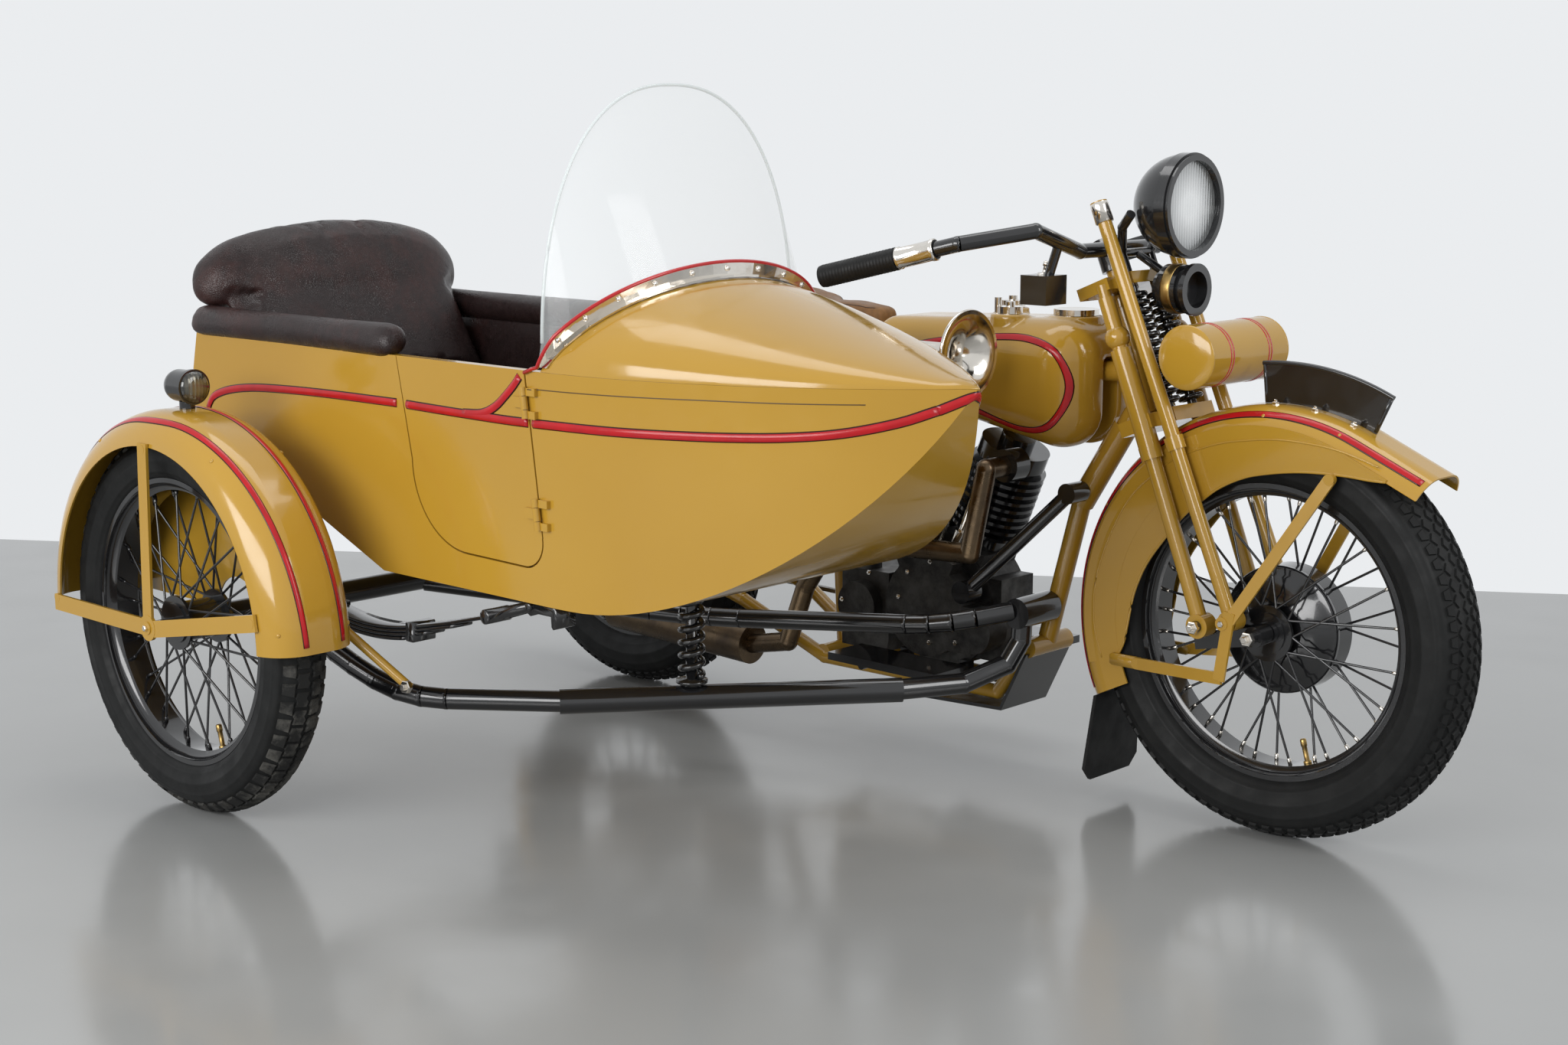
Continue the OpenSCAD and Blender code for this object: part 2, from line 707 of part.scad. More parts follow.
// point on the cowl's rear edge, raised by u along the slope of the edge plane and set back by v
function edge_pt(a, u, v) = let (p = cowl_pt(1, a, 0))
    [p[0] + v, p[1] - u * cos(a), p[2] + u * sin(a)];

// angle strip on the cowl's edge: a foot on the cowl and an upright that the screen stands behind
function strip_top(a) = strip_h - 18 + 18 * min(1, sin(a) / 0.35);

module cowl_strip() {
    n = 30;
    m = 6;
    pts = [for (i = [0 : n]) let (a = 3 + 174 * i / n) each [edge_pt(a, seat, seat - 6), edge_pt(a, strip_top(a), seat - 6),
        edge_pt(a, strip_top(a), -2), edge_pt(a, 3.5, -2), edge_pt(a, 3.5, 12), edge_pt(a, seat, 12)]];
    faces = [for (i = [0 : n - 1]) for (q = [0 : m - 1])
        [m * i + q, m * i + (q + 1) % m, m * i + m + (q + 1) % m, m * i + m + q]];
    ends = [[for (q = [m - 1 : -1 : 0]) q], [for (q = [0 : m - 1]) m * n + q]];
    color(nickel) car() polyhedron(pts, back_to_front(concat(faces, ends)), convexity = 4);
}

// windscreen: ruled between the cowl's edge and an arched rim
function screen_pt(a, t, v) =
    let (p = edge_pt(a, 2 * seat, -6))
    let (q = [bow_x - 6, -(hull_y - 12) * sign(cos(a)) * pow(abs(cos(a)), 0.86),
        belt_z + 14 + (screen_h - 14) * pow(sin(a), 0.86)])
    [p[0] + (q[0] - p[0]) * t + v, p[1] + (q[1] - p[1]) * t, p[2] + (q[2] - p[2]) * t];

// one half of the screen, from its middle to its foot
module screen_half() {
    rows = 6;
    n = 16;
    m = n + 1;
    k = m * (rows + 1);
    pts = [for (v = [0, -screen_t]) for (r = [0 : rows]) for (i = [0 : n]) screen_pt(90 + 86 * i / n, r / rows, v)];
    face = [for (r = [0 : rows - 1]) for (i = [0 : n - 1])
        each [[r * m + i, r * m + i + 1, (r + 1) * m + i], [r * m + i + 1, (r + 1) * m + i + 1, (r + 1) * m + i]]];
    rear = [for (f = face) [k + f[0], k + f[2], k + f[1]]];
    edge = concat([for (i = [0 : n]) i], [for (r = [1 : rows]) r * m + n], [for (i = [n - 1 : -1 : 0]) rows * m + i],
        [for (r = [rows - 1 : -1 : 1]) r * m]);
    c = len(edge);
    rim = [for (i = [0 : c - 1]) let (a = edge[i]) let (b = edge[(i + 1) % c]) each [[a, k + a, b], [b, k + a, k + b]]];
    polyhedron(pts, back_to_front(concat(face, rear, rim)), convexity = 4);
}

module windscreen() {
    color([0.8, 0.9, 0.9, 0.3]) car() pair() screen_half();
}

// seat: height of the sloping floor at x
function tail_floor(x) = floor_z + wall + (652 - floor_z) * (-1102 - x) / (-1102 - tail_x + 15 - wall);

module seat_cushion() {
    w = hull_y - wall - 10;
    color(leather) car() translate([0, w, 0]) rotate([90, 0, 0]) linear_extrude(2 * w)
        polygon([[-1170, tail_floor(-1170) + seat], [-1150, 560], [-1150, 640], [-1195, 692], [-1500, 680],
            [-1500, tail_floor(-1500) + seat]]);
}

module seat_back() {
    roll_top = belt_z + roll_h + 2 * seat;
    color(leather) car() {
        hull() {
            for (s = [-1, 1]) translate([-1636, s * (hull_y - 31), roll_top + 34]) sphere(r = 34, $fn = 24);
            for (y = [-150, -75, 0, 75, 150]) translate([-1606 - abs(y) / 12, y, 938 - y * y / 900]) sphere(r = 44, $fn = 24);
        }
        translate([0, hull_y - 46, 0]) rotate([90, 0, 0]) linear_extrude(2 * hull_y - 92)
            polygon([[-1602, roll_top + 30], [-1566, roll_top + 30], [-1478, 682 + seat], [-1545, 682 + seat]]);
    }
}

module arm_rolls() {
    color(leather) car() translate([0, 0, belt_z + roll_h / 2 + seat]) for (e = [[-1, -1086], [1, -748]]) {
        rod([-1606, e[0] * (hull_y - 14), 0], [e[1], e[0] * (hull_y - 14), 0], roll_h);
        translate([e[1], e[0] * (hull_y - 14), 0]) sphere(d = roll_h + 0.4);
    }
}

// sidecar fender
module sidecar_fender() {
    color(tan_paint) bike() translate([0, -track, 0]) {
        sweep(side_x, sr, 0, 180) difference() {
            dome(sr - 28, side_crown_r, side_fender_y, 62);
            translate([-1, 0]) dome(sr - 28, side_crown_r + 1 - fender_t, side_fender_y - fender_t, 62 - fender_t);
        }
        difference() {
            translate([side_x, side_fender_y, sr]) rotate([90, 0, 0]) cylinder(r = sr - 24, h = fender_t, $fn = 96);
            translate([side_x - 500, 0, sr - 500]) cube([1000, 200, 500]);
            along_y(side_x, sr, 0, 200, 120);
        }
    }
    y0 = -track - side_fender_y - 6;
    side_lip = sr - 27;
    color(tan_paint) bike() {
        bar([side_x, y0 - 2, sr + 12], [side_x, y0 + 3, sr + side_crown_r - 50], 26, 5);
        bar([side_x - 16, y0 - 2, sr], [side_x - side_lip - 8, y0 + 3, sr - 2], 28, 5);
        bar([side_x + 16, y0 - 2, sr], [side_x + side_lip + 4, y0 + 3, sr + 54], 28, 5);
        along_y(side_x, sr, y0 - 5, y0 + 1, 44);
        along_y(side_x, sr, -track - bolt_reach, y0 - 4, 22);
        for (p = [[side_x, sr + side_crown_r - 60], [side_x - side_lip, sr + 6], [side_x + side_lip - 6, sr + 52]])
            along_y(p[0], p[1], y0, y0 + 6 - seat, 16);
        rod([side_x + sr - 45, -track + side_fender_y + 10, sr + 12], [side_x + 384, -984, 250], 16);
        along_y(side_x + sr - 45, sr + 12, -track + side_fender_y + seat, -track + side_fender_y + 16, 20);
    }
}

module side_lamp() {
    z = sr + side_crown_r;
    color(black) bike() translate([side_x, -track, 0]) {
        difference() {
            translate([0, 0, z - 8]) cylinder(d = 26, h = 20);
            ring(0, 0, sr) translate([0, -100]) square([side_crown_r + seat, 200]);
        }
        translate([-18, 0, z + 37]) rotate([0, 90, 0]) cylinder(d = 54, h = 36);
        translate([-18, 0, z + 37]) sphere(d = 54);
        translate([16, 0, z + 37]) rotate([0, 90, 0]) cylinder(d = 59, h = 8);
    }
}

// steering: everything that turns with the fork
module fork() {
    low = [-94, leg_y, 350];
    top = [-298, leg_y, 870];
    v = (top - low) / norm(top - low);
    low2 = [-37, leg_y, 366];
    top2 = [-318, leg_y, 1026];
    u = (top2 - low2) / norm(top2 - low2);
    color(tan_paint) bike() {
        pair() {
            rod(low, top, leg_d);
            rod(low + v * 300, low + v * 470, leg_d + 9);
            rod(low + v * 282, low + v * 304, leg_d + 10);
            translate(low + v * 490) sphere(d = leg_d + 14);
            rod(top, top + v * 22, leg_d - 6);
            along_y(low[0], low[2], leg_y - boss, leg_y + boss, 40);
        }
        // lower and upper crowns with the steering stem between them
        for (c = [[-118, 24], [118, 20]]) translate(on_axis(c[0], 0)) rotate([0, -rake, 0]) {
            translate([-22, -leg_y - 5, -c[1] / 2]) cube([64, 2 * leg_y + 10, c[1]]);
            translate([40, -58, -c[1] / 2]) cube([28, 116, c[1]]);
        }
        rod(on_axis(-120, 0), on_axis(150, 0), stem_d);
        pair() {
            rod(low2, top2 - u * 34, leg_d - 3);
            rod(low2 + u * 290, low2 + u * 312, leg_d + 5);
            rod(top2 - u * 34, top2, leg_d + 2);
            along_y(low2[0], low2[2], leg_y - boss, leg_y + boss, 34);
        }
    }
}

module rockers() {
    color(black) bike() {
        pair() {
            bar([-118, 64, 318], [6, 64, fr], 30, 10);
            for (p = [[-94, 350, 18], [-37, 366, 16]]) {
                along_y(p[0], p[1], 59, leg_y - boss - seat, p[2]);
                along_y(p[0], p[1], leg_y + boss + seat, leg_y + boss + 8, p[2] + 2);
            }
            along_y(0, fr, 46, 62, axle_d + 12);
            along_y(0, fr, 59, 82, 34);
            // coil springs between the crowns
            translate(on_axis(-106 + seat, 34)) rotate([0, -rake, 0]) translate([46, 0, 0]) rotate_extrude() {
                square([8, 214 - 2 * seat]);
                for (i = [0 : 13]) translate([17, 14 + i * 14]) circle(d = 9);
                for (i = [0 : 13]) translate([0, 13 + i * 14]) square([17, 2]);
            }
        }
        along_y(0, fr, -96, 96, axle_d);
    }
}

function flip(p) = [p[0], -p[1], p[2]];
bar_end = [-640, bar_y, 905];
bar_bend = [-400, bar_y - 55, 965];
grip_end = grip_len + sleeve_len;

module handlebar() {
    v = (bar_bend - bar_end) / norm(bar_bend - bar_end);
    color(black) bike() {
        pipe([flip(bar_end + v * grip_end), flip(bar_bend), [-318, -255, 985], [-336, -110, 946], [-336, 110, 946],
            [-318, 255, 985], bar_bend, bar_end + v * grip_end], bar_d);
        rod(on_axis(150 + seat, 0), on_axis(206, 0), 44);
        rod([-326, -180, 966], [-352, -178, 896], 16);
        translate([-385, -205, 862]) cube([52, 56, 48]);
    }
}

module grips() {
    v = (bar_bend - bar_end) / norm(bar_bend - bar_end);
    color(rubber) bike() pair() {
        rod(bar_end + v * grip_len, bar_end + v * grip_end - v * seat, grip_d - 4);
        rod(bar_end, bar_end + v * grip_len, grip_d);
    }
}

// lamp bracket: a point on its upright, s up the steering axis
function lamp_foot(s) = on_axis(s, 40) + [50 * cos(rake), 0, 50 * sin(rake)];

module headlamp() {
    color(black) bike() {
        translate([-207, 0, 1021]) rotate([0, 90, 0]) rotate_extrude($fn = 64) difference() {
            union() {
                intersection() {
                    circle(r = lamp_d / 2 - 2);
                    translate([0, -lamp_d / 2]) square([lamp_d, lamp_d / 2]);
                }
                translate([0, -4]) square([lamp_d / 2 - 3, 25]);
                translate([0, -4]) square([lamp_d / 2, 19]);
            }
            intersection() {
                circle(r = lamp_d / 2 - 8);
                translate([0, -lamp_d]) square([lamp_d, lamp_d + 4]);
            }
            translate([0, 3]) square([lamp_d / 2 - lamp_rim, 30]);
        }
        pair() pipe([lamp_foot(128 + seat), lamp_foot(165), [-288, 60, 985], [-262, 74, 1008]], 16);
        rod(lamp_foot(165), flip(lamp_foot(165)), 14);
    }
}

module headlamp_lens() {
    color([0.85, 0.9, 0.92, 0.4]) bike() translate([-207 + 5, 0, 1021]) rotate([0, 90, 0])
        cylinder(r = lamp_d / 2 - lamp_rim - seat, h = 5);
}

module klaxon() {
    color(black) bike() {
        translate([-179, 0, 885]) rotate([0, -90, 0]) rotate_extrude() difference() {
            union() {
                square([43, 8]);
                square([34, 30]);
                translate([0, 20]) square([40, 36]);
                square([28, 70]);
            }
            translate([0, -1]) square([30, 20]);
        }
        rod([-235, 0, 905], [-295, 0, 938], 14);
    }
}

module tool_roll() {
    color(tan_paint) bike() {
        along_y(-123, 786, -roll_len / 2, roll_len / 2, roll_d);
        rod([-170, 40, 776], [-205, 40, 764], 14);
        rod([-170, -40, 776], [-205, -40, 764], 14);
    }
}

module front_fender() {
    color(tan_paint) bike() {
        difference() {
            sweep(0, fr, tip_a, 206) dome_shell(fr - 68, crown_r, fender_y, 50, fender_t);
            sweep(0, fr, 40, 112) translate([fr - 80, -100]) square([72, 200]);
        }
        translate([0, 0, fr]) rotate([0, -tip_a, 0]) rotate([90, 0, 0]) rotate([90, 0, 0]) linear_extrude(tip_len)
            dome_shell(fr - 8, crown_r, fender_y, 50, fender_t);
        pair() {
            bar([121, fender_y + 6, 612], [-24, leg_y + 28, 372], 20, 5);
            bar([-24, leg_y + 28, 386], [-40, leg_y + 28, 272], 20, 5);
            bar([-36, leg_y + 28, 276], [-228, fender_y + 6, 262], 20, 5);
            along_y(121, 612, fender_y + seat, fender_y + 10, 18);
            along_y(-226, 262, fender_y + seat, fender_y + 10, 18);
            along_y(-37, 366, leg_y + boss + 8 + seat, leg_y + 32, 22);
        }
    }
}

module mudflap() {
    a = 206;
    color(rubber) bike() difference() {
        translate([crown_r * cos(a), 0, 36]) rotate([0, 5, 0]) rotate([0, 90, 0]) rotate([0, 0, 90]) linear_extrude(6)
            polygon([[-60, 200], [60, 200], [78, 22], [58, 0], [-58, 0], [-78, 22]]);
        sweep(0, fr, 150, a + 0.06) translate([150, -100]) square([300, 200]);
    }
}

module front_plate() {
    color(black) bike() sweep(0, fr, 65, 96.5) {
        translate([crown_r + seat, -2]) square([64, 4]);
        translate([crown_r + seat + 64, 0]) circle(d = 8);
    }
}

frame();
crankcase();
cylinders();
pushrod_tubes();
timing_cover();
carburettor();
gearbox();
drive_chain();
exhaust();
footboards();
fuel_tank();
tank_caps();
saddle();
saddle_mount();
rear_fender();
rear_plate();
trumpet_horn();
horn_bulb();
sidecar_frame();
sidecar_springs();
sidecar_hull();
sidecar_cowl();
cowl_strip();
windscreen();
seat_cushion();
seat_back();
arm_rolls();
sidecar_fender();
side_lamp();
fork();
rockers();
handlebar();
grips();
headlamp();
headlamp_lens();
klaxon();
tool_roll();
front_fender();
mudflap();
front_plate();
front_tyre();
front_wheel();
rear_tyre();
rear_wheel();
side_tyre();
side_wheel();
sidecar_door();
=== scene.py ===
import json
import math
import bmesh
import bpy
from mathutils import Matrix, Vector
from mathutils.bvhtree import BVHTree


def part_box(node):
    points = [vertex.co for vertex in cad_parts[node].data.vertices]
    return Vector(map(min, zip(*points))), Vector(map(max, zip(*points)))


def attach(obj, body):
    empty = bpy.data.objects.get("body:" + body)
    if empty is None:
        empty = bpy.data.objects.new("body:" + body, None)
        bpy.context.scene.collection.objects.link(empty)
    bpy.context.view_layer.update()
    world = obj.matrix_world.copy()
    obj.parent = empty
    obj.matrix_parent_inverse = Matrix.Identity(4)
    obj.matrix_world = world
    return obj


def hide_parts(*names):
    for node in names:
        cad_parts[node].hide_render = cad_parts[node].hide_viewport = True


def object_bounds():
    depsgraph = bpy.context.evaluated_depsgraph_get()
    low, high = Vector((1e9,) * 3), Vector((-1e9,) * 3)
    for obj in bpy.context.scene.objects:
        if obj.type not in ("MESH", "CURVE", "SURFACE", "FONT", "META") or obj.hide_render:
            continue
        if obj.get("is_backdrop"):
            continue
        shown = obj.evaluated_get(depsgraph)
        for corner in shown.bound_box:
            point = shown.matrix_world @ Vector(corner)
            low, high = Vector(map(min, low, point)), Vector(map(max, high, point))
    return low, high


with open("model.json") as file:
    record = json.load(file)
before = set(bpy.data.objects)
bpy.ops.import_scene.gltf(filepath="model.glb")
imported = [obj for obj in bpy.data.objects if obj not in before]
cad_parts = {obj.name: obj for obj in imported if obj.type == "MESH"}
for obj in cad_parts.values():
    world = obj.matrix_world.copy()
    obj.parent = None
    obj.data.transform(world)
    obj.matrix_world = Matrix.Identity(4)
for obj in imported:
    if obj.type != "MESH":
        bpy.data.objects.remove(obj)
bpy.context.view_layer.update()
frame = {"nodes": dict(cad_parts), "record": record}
nodes = frame["nodes"]
scene = bpy.context.scene
scene.view_settings.view_transform = "Standard"

tyreLow, tyreHigh = (Vector(c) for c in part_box("front_tyre"))
groundPoint = Vector(((tyreLow.x + tyreHigh.x) / 2, (tyreLow.y + tyreHigh.y) / 2, 0))
carMid = -680  # the car body's middle, across from the machine's own, mm; left is plus


def at(x, y, z):  # millimetres from the front wheel's ground contact
    return groundPoint + Vector((x, y, z)) / 1000


# camera
view = {"lens": 51.72, "place": (2.66753, -2.74747, 1.16472), "pitch": 79.776, "yaw": 43.39}
cameraData = bpy.data.cameras.new("photoCamera")
cameraData.lens = view["lens"]
cameraData.sensor_width = 36
cameraData.sensor_fit = "HORIZONTAL"
camera = bpy.data.objects.new("photoCamera", cameraData)
camera.location = view["place"]
camera.rotation_euler = (math.radians(view["pitch"]), 0, math.radians(view["yaw"]))
scene.collection.objects.link(camera)
scene.camera = camera
print("camera placed")


# shader helpers
def addNode(mat, kind, inputs=None, **props):
    node = mat.node_tree.nodes.new(kind)
    for key, value in props.items():
        setattr(node, key, value)
    for key, value in (inputs or {}).items():
        if isinstance(value, bpy.types.NodeSocket):
            mat.node_tree.links.new(value, node.inputs[key])
        else:
            node.inputs[key].default_value = value
    return node


def newFinish(name, sockets):
    mat = bpy.data.materials.new(name)
    mat.use_nodes = True
    shader = mat.node_tree.nodes["Principled BSDF"]
    for key, value in sockets.items():
        shader.inputs[key].default_value = value
    return mat, shader


def place(mat, stretch=(1, 1, 1)):
    coord = addNode(mat, "ShaderNodeTexCoord").outputs["Object"]
    return addNode(mat, "ShaderNodeMapping", {"Vector": coord, "Scale": stretch}).outputs["Vector"]


def cloud(mat, vector, scale, detail=3.0, rough=0.5):
    return addNode(mat, "ShaderNodeTexNoise", {"Vector": vector, "Scale": scale, "Detail": detail,
                                               "Roughness": rough}).outputs["Fac"]


def spread(mat, value, low, high, start=0.3, end=0.7):
    return addNode(mat, "ShaderNodeMapRange", {"Value": value, "From Min": start, "From Max": end,
                                               "To Min": low, "To Max": high}).outputs["Result"]


def blendTones(mat, factor, first, second):
    return addNode(mat, "ShaderNodeMix", {0: factor, 6: first, 7: second}, data_type="RGBA").outputs[2]


def tone(r, g, b):
    return (r, g, b, 1)


def link(mat, socket, shader, name):
    mat.node_tree.links.new(socket, shader.inputs[name])


def relief(mat, shader, height, strength, distance):
    bump = addNode(mat, "ShaderNodeBump", {"Height": height, "Strength": strength, "Distance": distance})
    link(mat, bump.outputs["Normal"], shader, "Normal")


# finishes
def glossEnamel(name, body, shade, rough, coat):  # sprayed and rubbed enamel
    mat, shader = newFinish(name, {"IOR": 1.5, "Coat Weight": coat, "Coat Roughness": 0.04})
    where = place(mat)
    link(mat, blendTones(mat, spread(mat, cloud(mat, where, 3.2, 4), 0, 1), shade, body), shader, "Base Color")
    link(mat, spread(mat, cloud(mat, where, 24, 5, 0.6), rough - 0.05, rough + 0.09), shader, "Roughness")
    relief(mat, shader, cloud(mat, where, 330, 2), 0.05, 0.0004)
    return mat


def platedMetal(name, bright, dull, low, high):
    mat, shader = newFinish(name, {"Metallic": 1.0})
    where = place(mat)
    link(mat, blendTones(mat, spread(mat, cloud(mat, where, 9, 5, 0.6), 0, 1), dull, bright), shader, "Base Color")
    link(mat, spread(mat, cloud(mat, where, 42, 6, 0.65), low, high), shader, "Roughness")
    relief(mat, shader, cloud(mat, where, 160, 3), 0.04, 0.0005)
    return mat


def castMetal(name, clean, oily):
    mat, shader = newFinish(name, {"Metallic": 0.75, "IOR": 1.5})
    where = place(mat)
    stain = spread(mat, cloud(mat, where, 13, 6, 0.7), 0, 1, 0.38, 0.62)
    link(mat, blendTones(mat, stain, oily, clean), shader, "Base Color")
    link(mat, spread(mat, cloud(mat, where, 30, 4), 0.34, 0.62), shader, "Roughness")
    relief(mat, shader, cloud(mat, where, 520, 4, 0.7), 0.25, 0.0008)
    return mat


def hide(name, deep, worn, grain, gloss):  # leather: pebble grain, soft creases, rubbed places
    mat, shader = newFinish(name, {"IOR": 1.42, "Specular IOR Level": 0.42})
    where = place(mat)
    rubbed = spread(mat, cloud(mat, where, 7.5, 6, 0.62), 0, 1, 0.5, 0.74)
    speck = spread(mat, cloud(mat, where, 90, 3), 0.75, 1.15)
    base = blendTones(mat, rubbed, deep, worn)
    link(mat, addNode(mat, "ShaderNodeHueSaturation", {"Value": speck, "Color": base}).outputs["Color"], shader, "Base Color")
    link(mat, spread(mat, cloud(mat, where, 16, 5), gloss - 0.08, gloss + 0.14), shader, "Roughness")
    pebble = addNode(mat, "ShaderNodeTexVoronoi", {"Vector": where, "Scale": grain}, feature="DISTANCE_TO_EDGE").outputs["Distance"]
    creased = cloud(mat, place(mat, (6, 11, 2)), 1.0, 2, 0.4)
    height = addNode(mat, "ShaderNodeMath", {0: spread(mat, pebble, 0, 0.12, 0, 0.25), 1: creased}, operation="ADD").outputs[0]
    relief(mat, shader, height, 0.35, 0.006)
    return mat


def blackRubber(name, body, dust, rough, grain):
    mat, shader = newFinish(name, {"IOR": 1.4, "Specular IOR Level": 0.3})
    where = place(mat)
    link(mat, blendTones(mat, spread(mat, cloud(mat, where, 17, 6, 0.7), 0, 1, 0.45, 0.75), body, dust), shader, "Base Color")
    link(mat, spread(mat, cloud(mat, where, 33, 4), rough - 0.12, rough + 0.1), shader, "Roughness")
    relief(mat, shader, cloud(mat, where, grain, 4, 0.6), 0.18, 0.0006)
    return mat


def stripeFinish(name, red, edge):  # dark edge lines, partly the lining's own dark border and partly painted shade along a raised bead's sides; placed by the strip's own UV, across its width
    mat, shader = newFinish(name, {"IOR": 1.42})
    across = addNode(mat, "ShaderNodeSeparateXYZ", {0: addNode(mat, "ShaderNodeTexCoord").outputs["UV"]}).outputs["Y"]
    offMiddle = addNode(mat, "ShaderNodeMath", {0: across, 1: 0.5}, operation="SUBTRACT").outputs[0]
    offMiddle = addNode(mat, "ShaderNodeMath", {0: offMiddle}, operation="ABSOLUTE").outputs[0]
    # painted shade in part: both edges of the strip darkened
    dark = spread(mat, offMiddle, 0, 1, 0.355, 0.39)
    where = place(mat)
    worn = blendTones(mat, spread(mat, cloud(mat, where, 30, 3), 0, 1), red, tone(red[0] * 0.8, red[1], red[2]))
    link(mat, blendTones(mat, dark, worn, edge), shader, "Base Color")
    link(mat, spread(mat, cloud(mat, where, 40, 3), 0.12, 0.24), shader, "Roughness")
    return mat


def lensFinish(name, middle, radius, bright, dark):  # fluted glass with painted reflection and shade: base colour paler towards the middle, darker towards the rim, banded along the flutes
    mat, shader = newFinish(name, {"Metallic": 0.6, "Coat Weight": 1.0, "Coat Roughness": 0.03})
    where = place(mat)
    flutes = addNode(mat, "ShaderNodeTexWave", {"Vector": where, "Scale": 44, "Distortion": 0.0},
                     wave_type="BANDS", bands_direction="Y", wave_profile="SIN").outputs["Fac"]
    away = addNode(mat, "ShaderNodeVectorMath", {0: where, 1: middle}, operation="DISTANCE").outputs["Value"]
    ring = spread(mat, away, 0, 1, radius * 0.25, radius)
    paintedReflection = addNode(mat, "ShaderNodeMath", {0: ring, 1: spread(mat, flutes, -0.12, 0.12, 0, 1)}, operation="ADD").outputs[0]
    link(mat, blendTones(mat, paintedReflection, bright, dark), shader, "Base Color")
    link(mat, spread(mat, cloud(mat, where, 40, 3), 0.1, 0.24), shader, "Roughness")
    relief(mat, shader, flutes, 0.3, 0.0012)
    return mat


def clearFinish(name, alpha, tint):
    mat, shader = newFinish(name, {"Base Color": tint, "IOR": 1.49, "Specular IOR Level": 0.5, "Alpha": alpha})
    where = place(mat)
    link(mat, spread(mat, cloud(mat, where, 11, 4), 0.02, 0.09), shader, "Roughness")
    return mat


paint = glossEnamel("mustardEnamel", tone(0.485, 0.276, 0.03), tone(0.455, 0.254, 0.027), 0.13, 0.3)
black = glossEnamel("blackEnamel", tone(0.008, 0.008, 0.009), tone(0.013, 0.013, 0.014), 0.15, 0.6)
nickel = platedMetal("polishedNickel", tone(0.8, 0.76, 0.7), tone(0.66, 0.62, 0.56), 0.07, 0.2)
engineMetal = castMetal("oiledCasting", tone(0.085, 0.082, 0.078), tone(0.022, 0.021, 0.02))
steel = platedMetal("oiledSteel", tone(0.3, 0.29, 0.27), tone(0.12, 0.11, 0.1), 0.28, 0.5)
brass = platedMetal("agedBrass", tone(0.52, 0.36, 0.13), tone(0.3, 0.19, 0.07), 0.24, 0.45)
heatedPipe = platedMetal("heatedPipe", tone(0.2, 0.14, 0.08), tone(0.06, 0.045, 0.035), 0.2, 0.42)
seatHide = hide("oxbloodHide", tone(0.02, 0.0115, 0.011), tone(0.05, 0.0165, 0.0135), 330, 0.26)
saddleHide = hide("saddleHide", tone(0.19, 0.085, 0.022), tone(0.3, 0.15, 0.045), 420, 0.4)
dustyRubber = blackRubber("dustyTread", tone(0.016, 0.016, 0.0155), tone(0.13, 0.125, 0.112), 0.74, 420)
rubber = blackRubber("mouldedRubber", tone(0.01, 0.01, 0.01), tone(0.02, 0.02, 0.019), 0.5, 300)
tyreRubber = blackRubber("tyreRubber", tone(0.0095, 0.0098, 0.0098), tone(0.016, 0.0163, 0.016), 0.58, 420)
stripeRed = stripeFinish("redLining", tone(0.5, 0.009, 0.014), tone(0.025, 0.004, 0.004))
ringRed = glossEnamel("redRings", tone(0.5, 0.01, 0.014), tone(0.44, 0.008, 0.012), 0.14, 0.2)
paintedSeamShadow = glossEnamel("seamShadow", tone(0.1, 0.055, 0.01), tone(0.08, 0.045, 0.01), 0.4, 0.0)
# painted reflection and shade on both lamp lenses: bright tone in the middle, dark tone at the rim
lens = lensFinish("flutedLens", at(-197, 0, 1021), 0.0727, tone(0.86, 0.87, 0.87), tone(0.3, 0.31, 0.31))
smallLens = lensFinish("sideLens", at(-1366, -1134, 725), 0.027, tone(0.2, 0.18, 0.13), tone(0.03, 0.03, 0.027))
clear = clearFinish("clearScreen", 0.14, tone(0.9, 0.94, 0.94))
# painted highlight: paler, half-clear finish for the bead along the screen's rim
rimHighlightFinish = clearFinish("screenEdge", 0.5, tone(0.86, 0.92, 0.92))
finishOf = {"tan_paint": paint, "black_enamel": black, "nickel": nickel, "engine_metal": engineMetal, "steel": steel,
            "brass": brass, "seat_leather": seatHide, "saddle_leather": saddleHide, "rubber": rubber,
            "tyre": tyreRubber, "glass": clear}
ownFinish = {"headlamp_lens": lens, "exhaust": heatedPipe}
for sub in frame["record"]["subparts"]:
    coat = ownFinish.get(sub["node"], finishOf[sub["material_slot"]])
    for holder in nodes[sub["node"]].material_slots:
        holder.material = coat
print("finishes made")


# mesh helpers
def meshPiece(name, verts, faces, finish, uvs=None, smooth=True):
    mesh = bpy.data.meshes.new(name)
    mesh.from_pydata([tuple(v) for v in verts], [], faces)
    mesh.update()
    mesh.materials.append(finish)
    mesh.polygons.foreach_set("use_smooth", [smooth] * len(mesh.polygons))
    if uvs:
        layer = mesh.uv_layers.new(name="UVMap")
        for loop in mesh.loops:
            layer.data[loop.index].uv = uvs[loop.vertex_index]
    obj = bpy.data.objects.new(name, mesh)
    scene.collection.objects.link(obj)
    return obj


def faceOut(obj, merge=0.0):
    bm = bmesh.new()
    bm.from_mesh(obj.data)
    if merge:
        bmesh.ops.remove_doubles(bm, verts=bm.verts, dist=merge)
    bmesh.ops.recalc_face_normals(bm, faces=bm.faces)
    bm.to_mesh(obj.data)
    bm.free()
    obj.data.update()


def settle(obj, body):
    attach(obj, body)
    return obj


def shade(obj, smooth):
    obj.data.polygons.foreach_set("use_smooth", [smooth] * len(obj.data.polygons))


def evenMesh(obj, voxel, soften):  # remeshed to even cells and smoothed
    even = obj.modifiers.new("even", "REMESH")
    even.mode = "VOXEL"
    even.voxel_size = voxel
    soft = obj.modifiers.new("soften", "SMOOTH")
    soft.factor, soft.iterations = 0.5, soften
    plainMesh(obj)


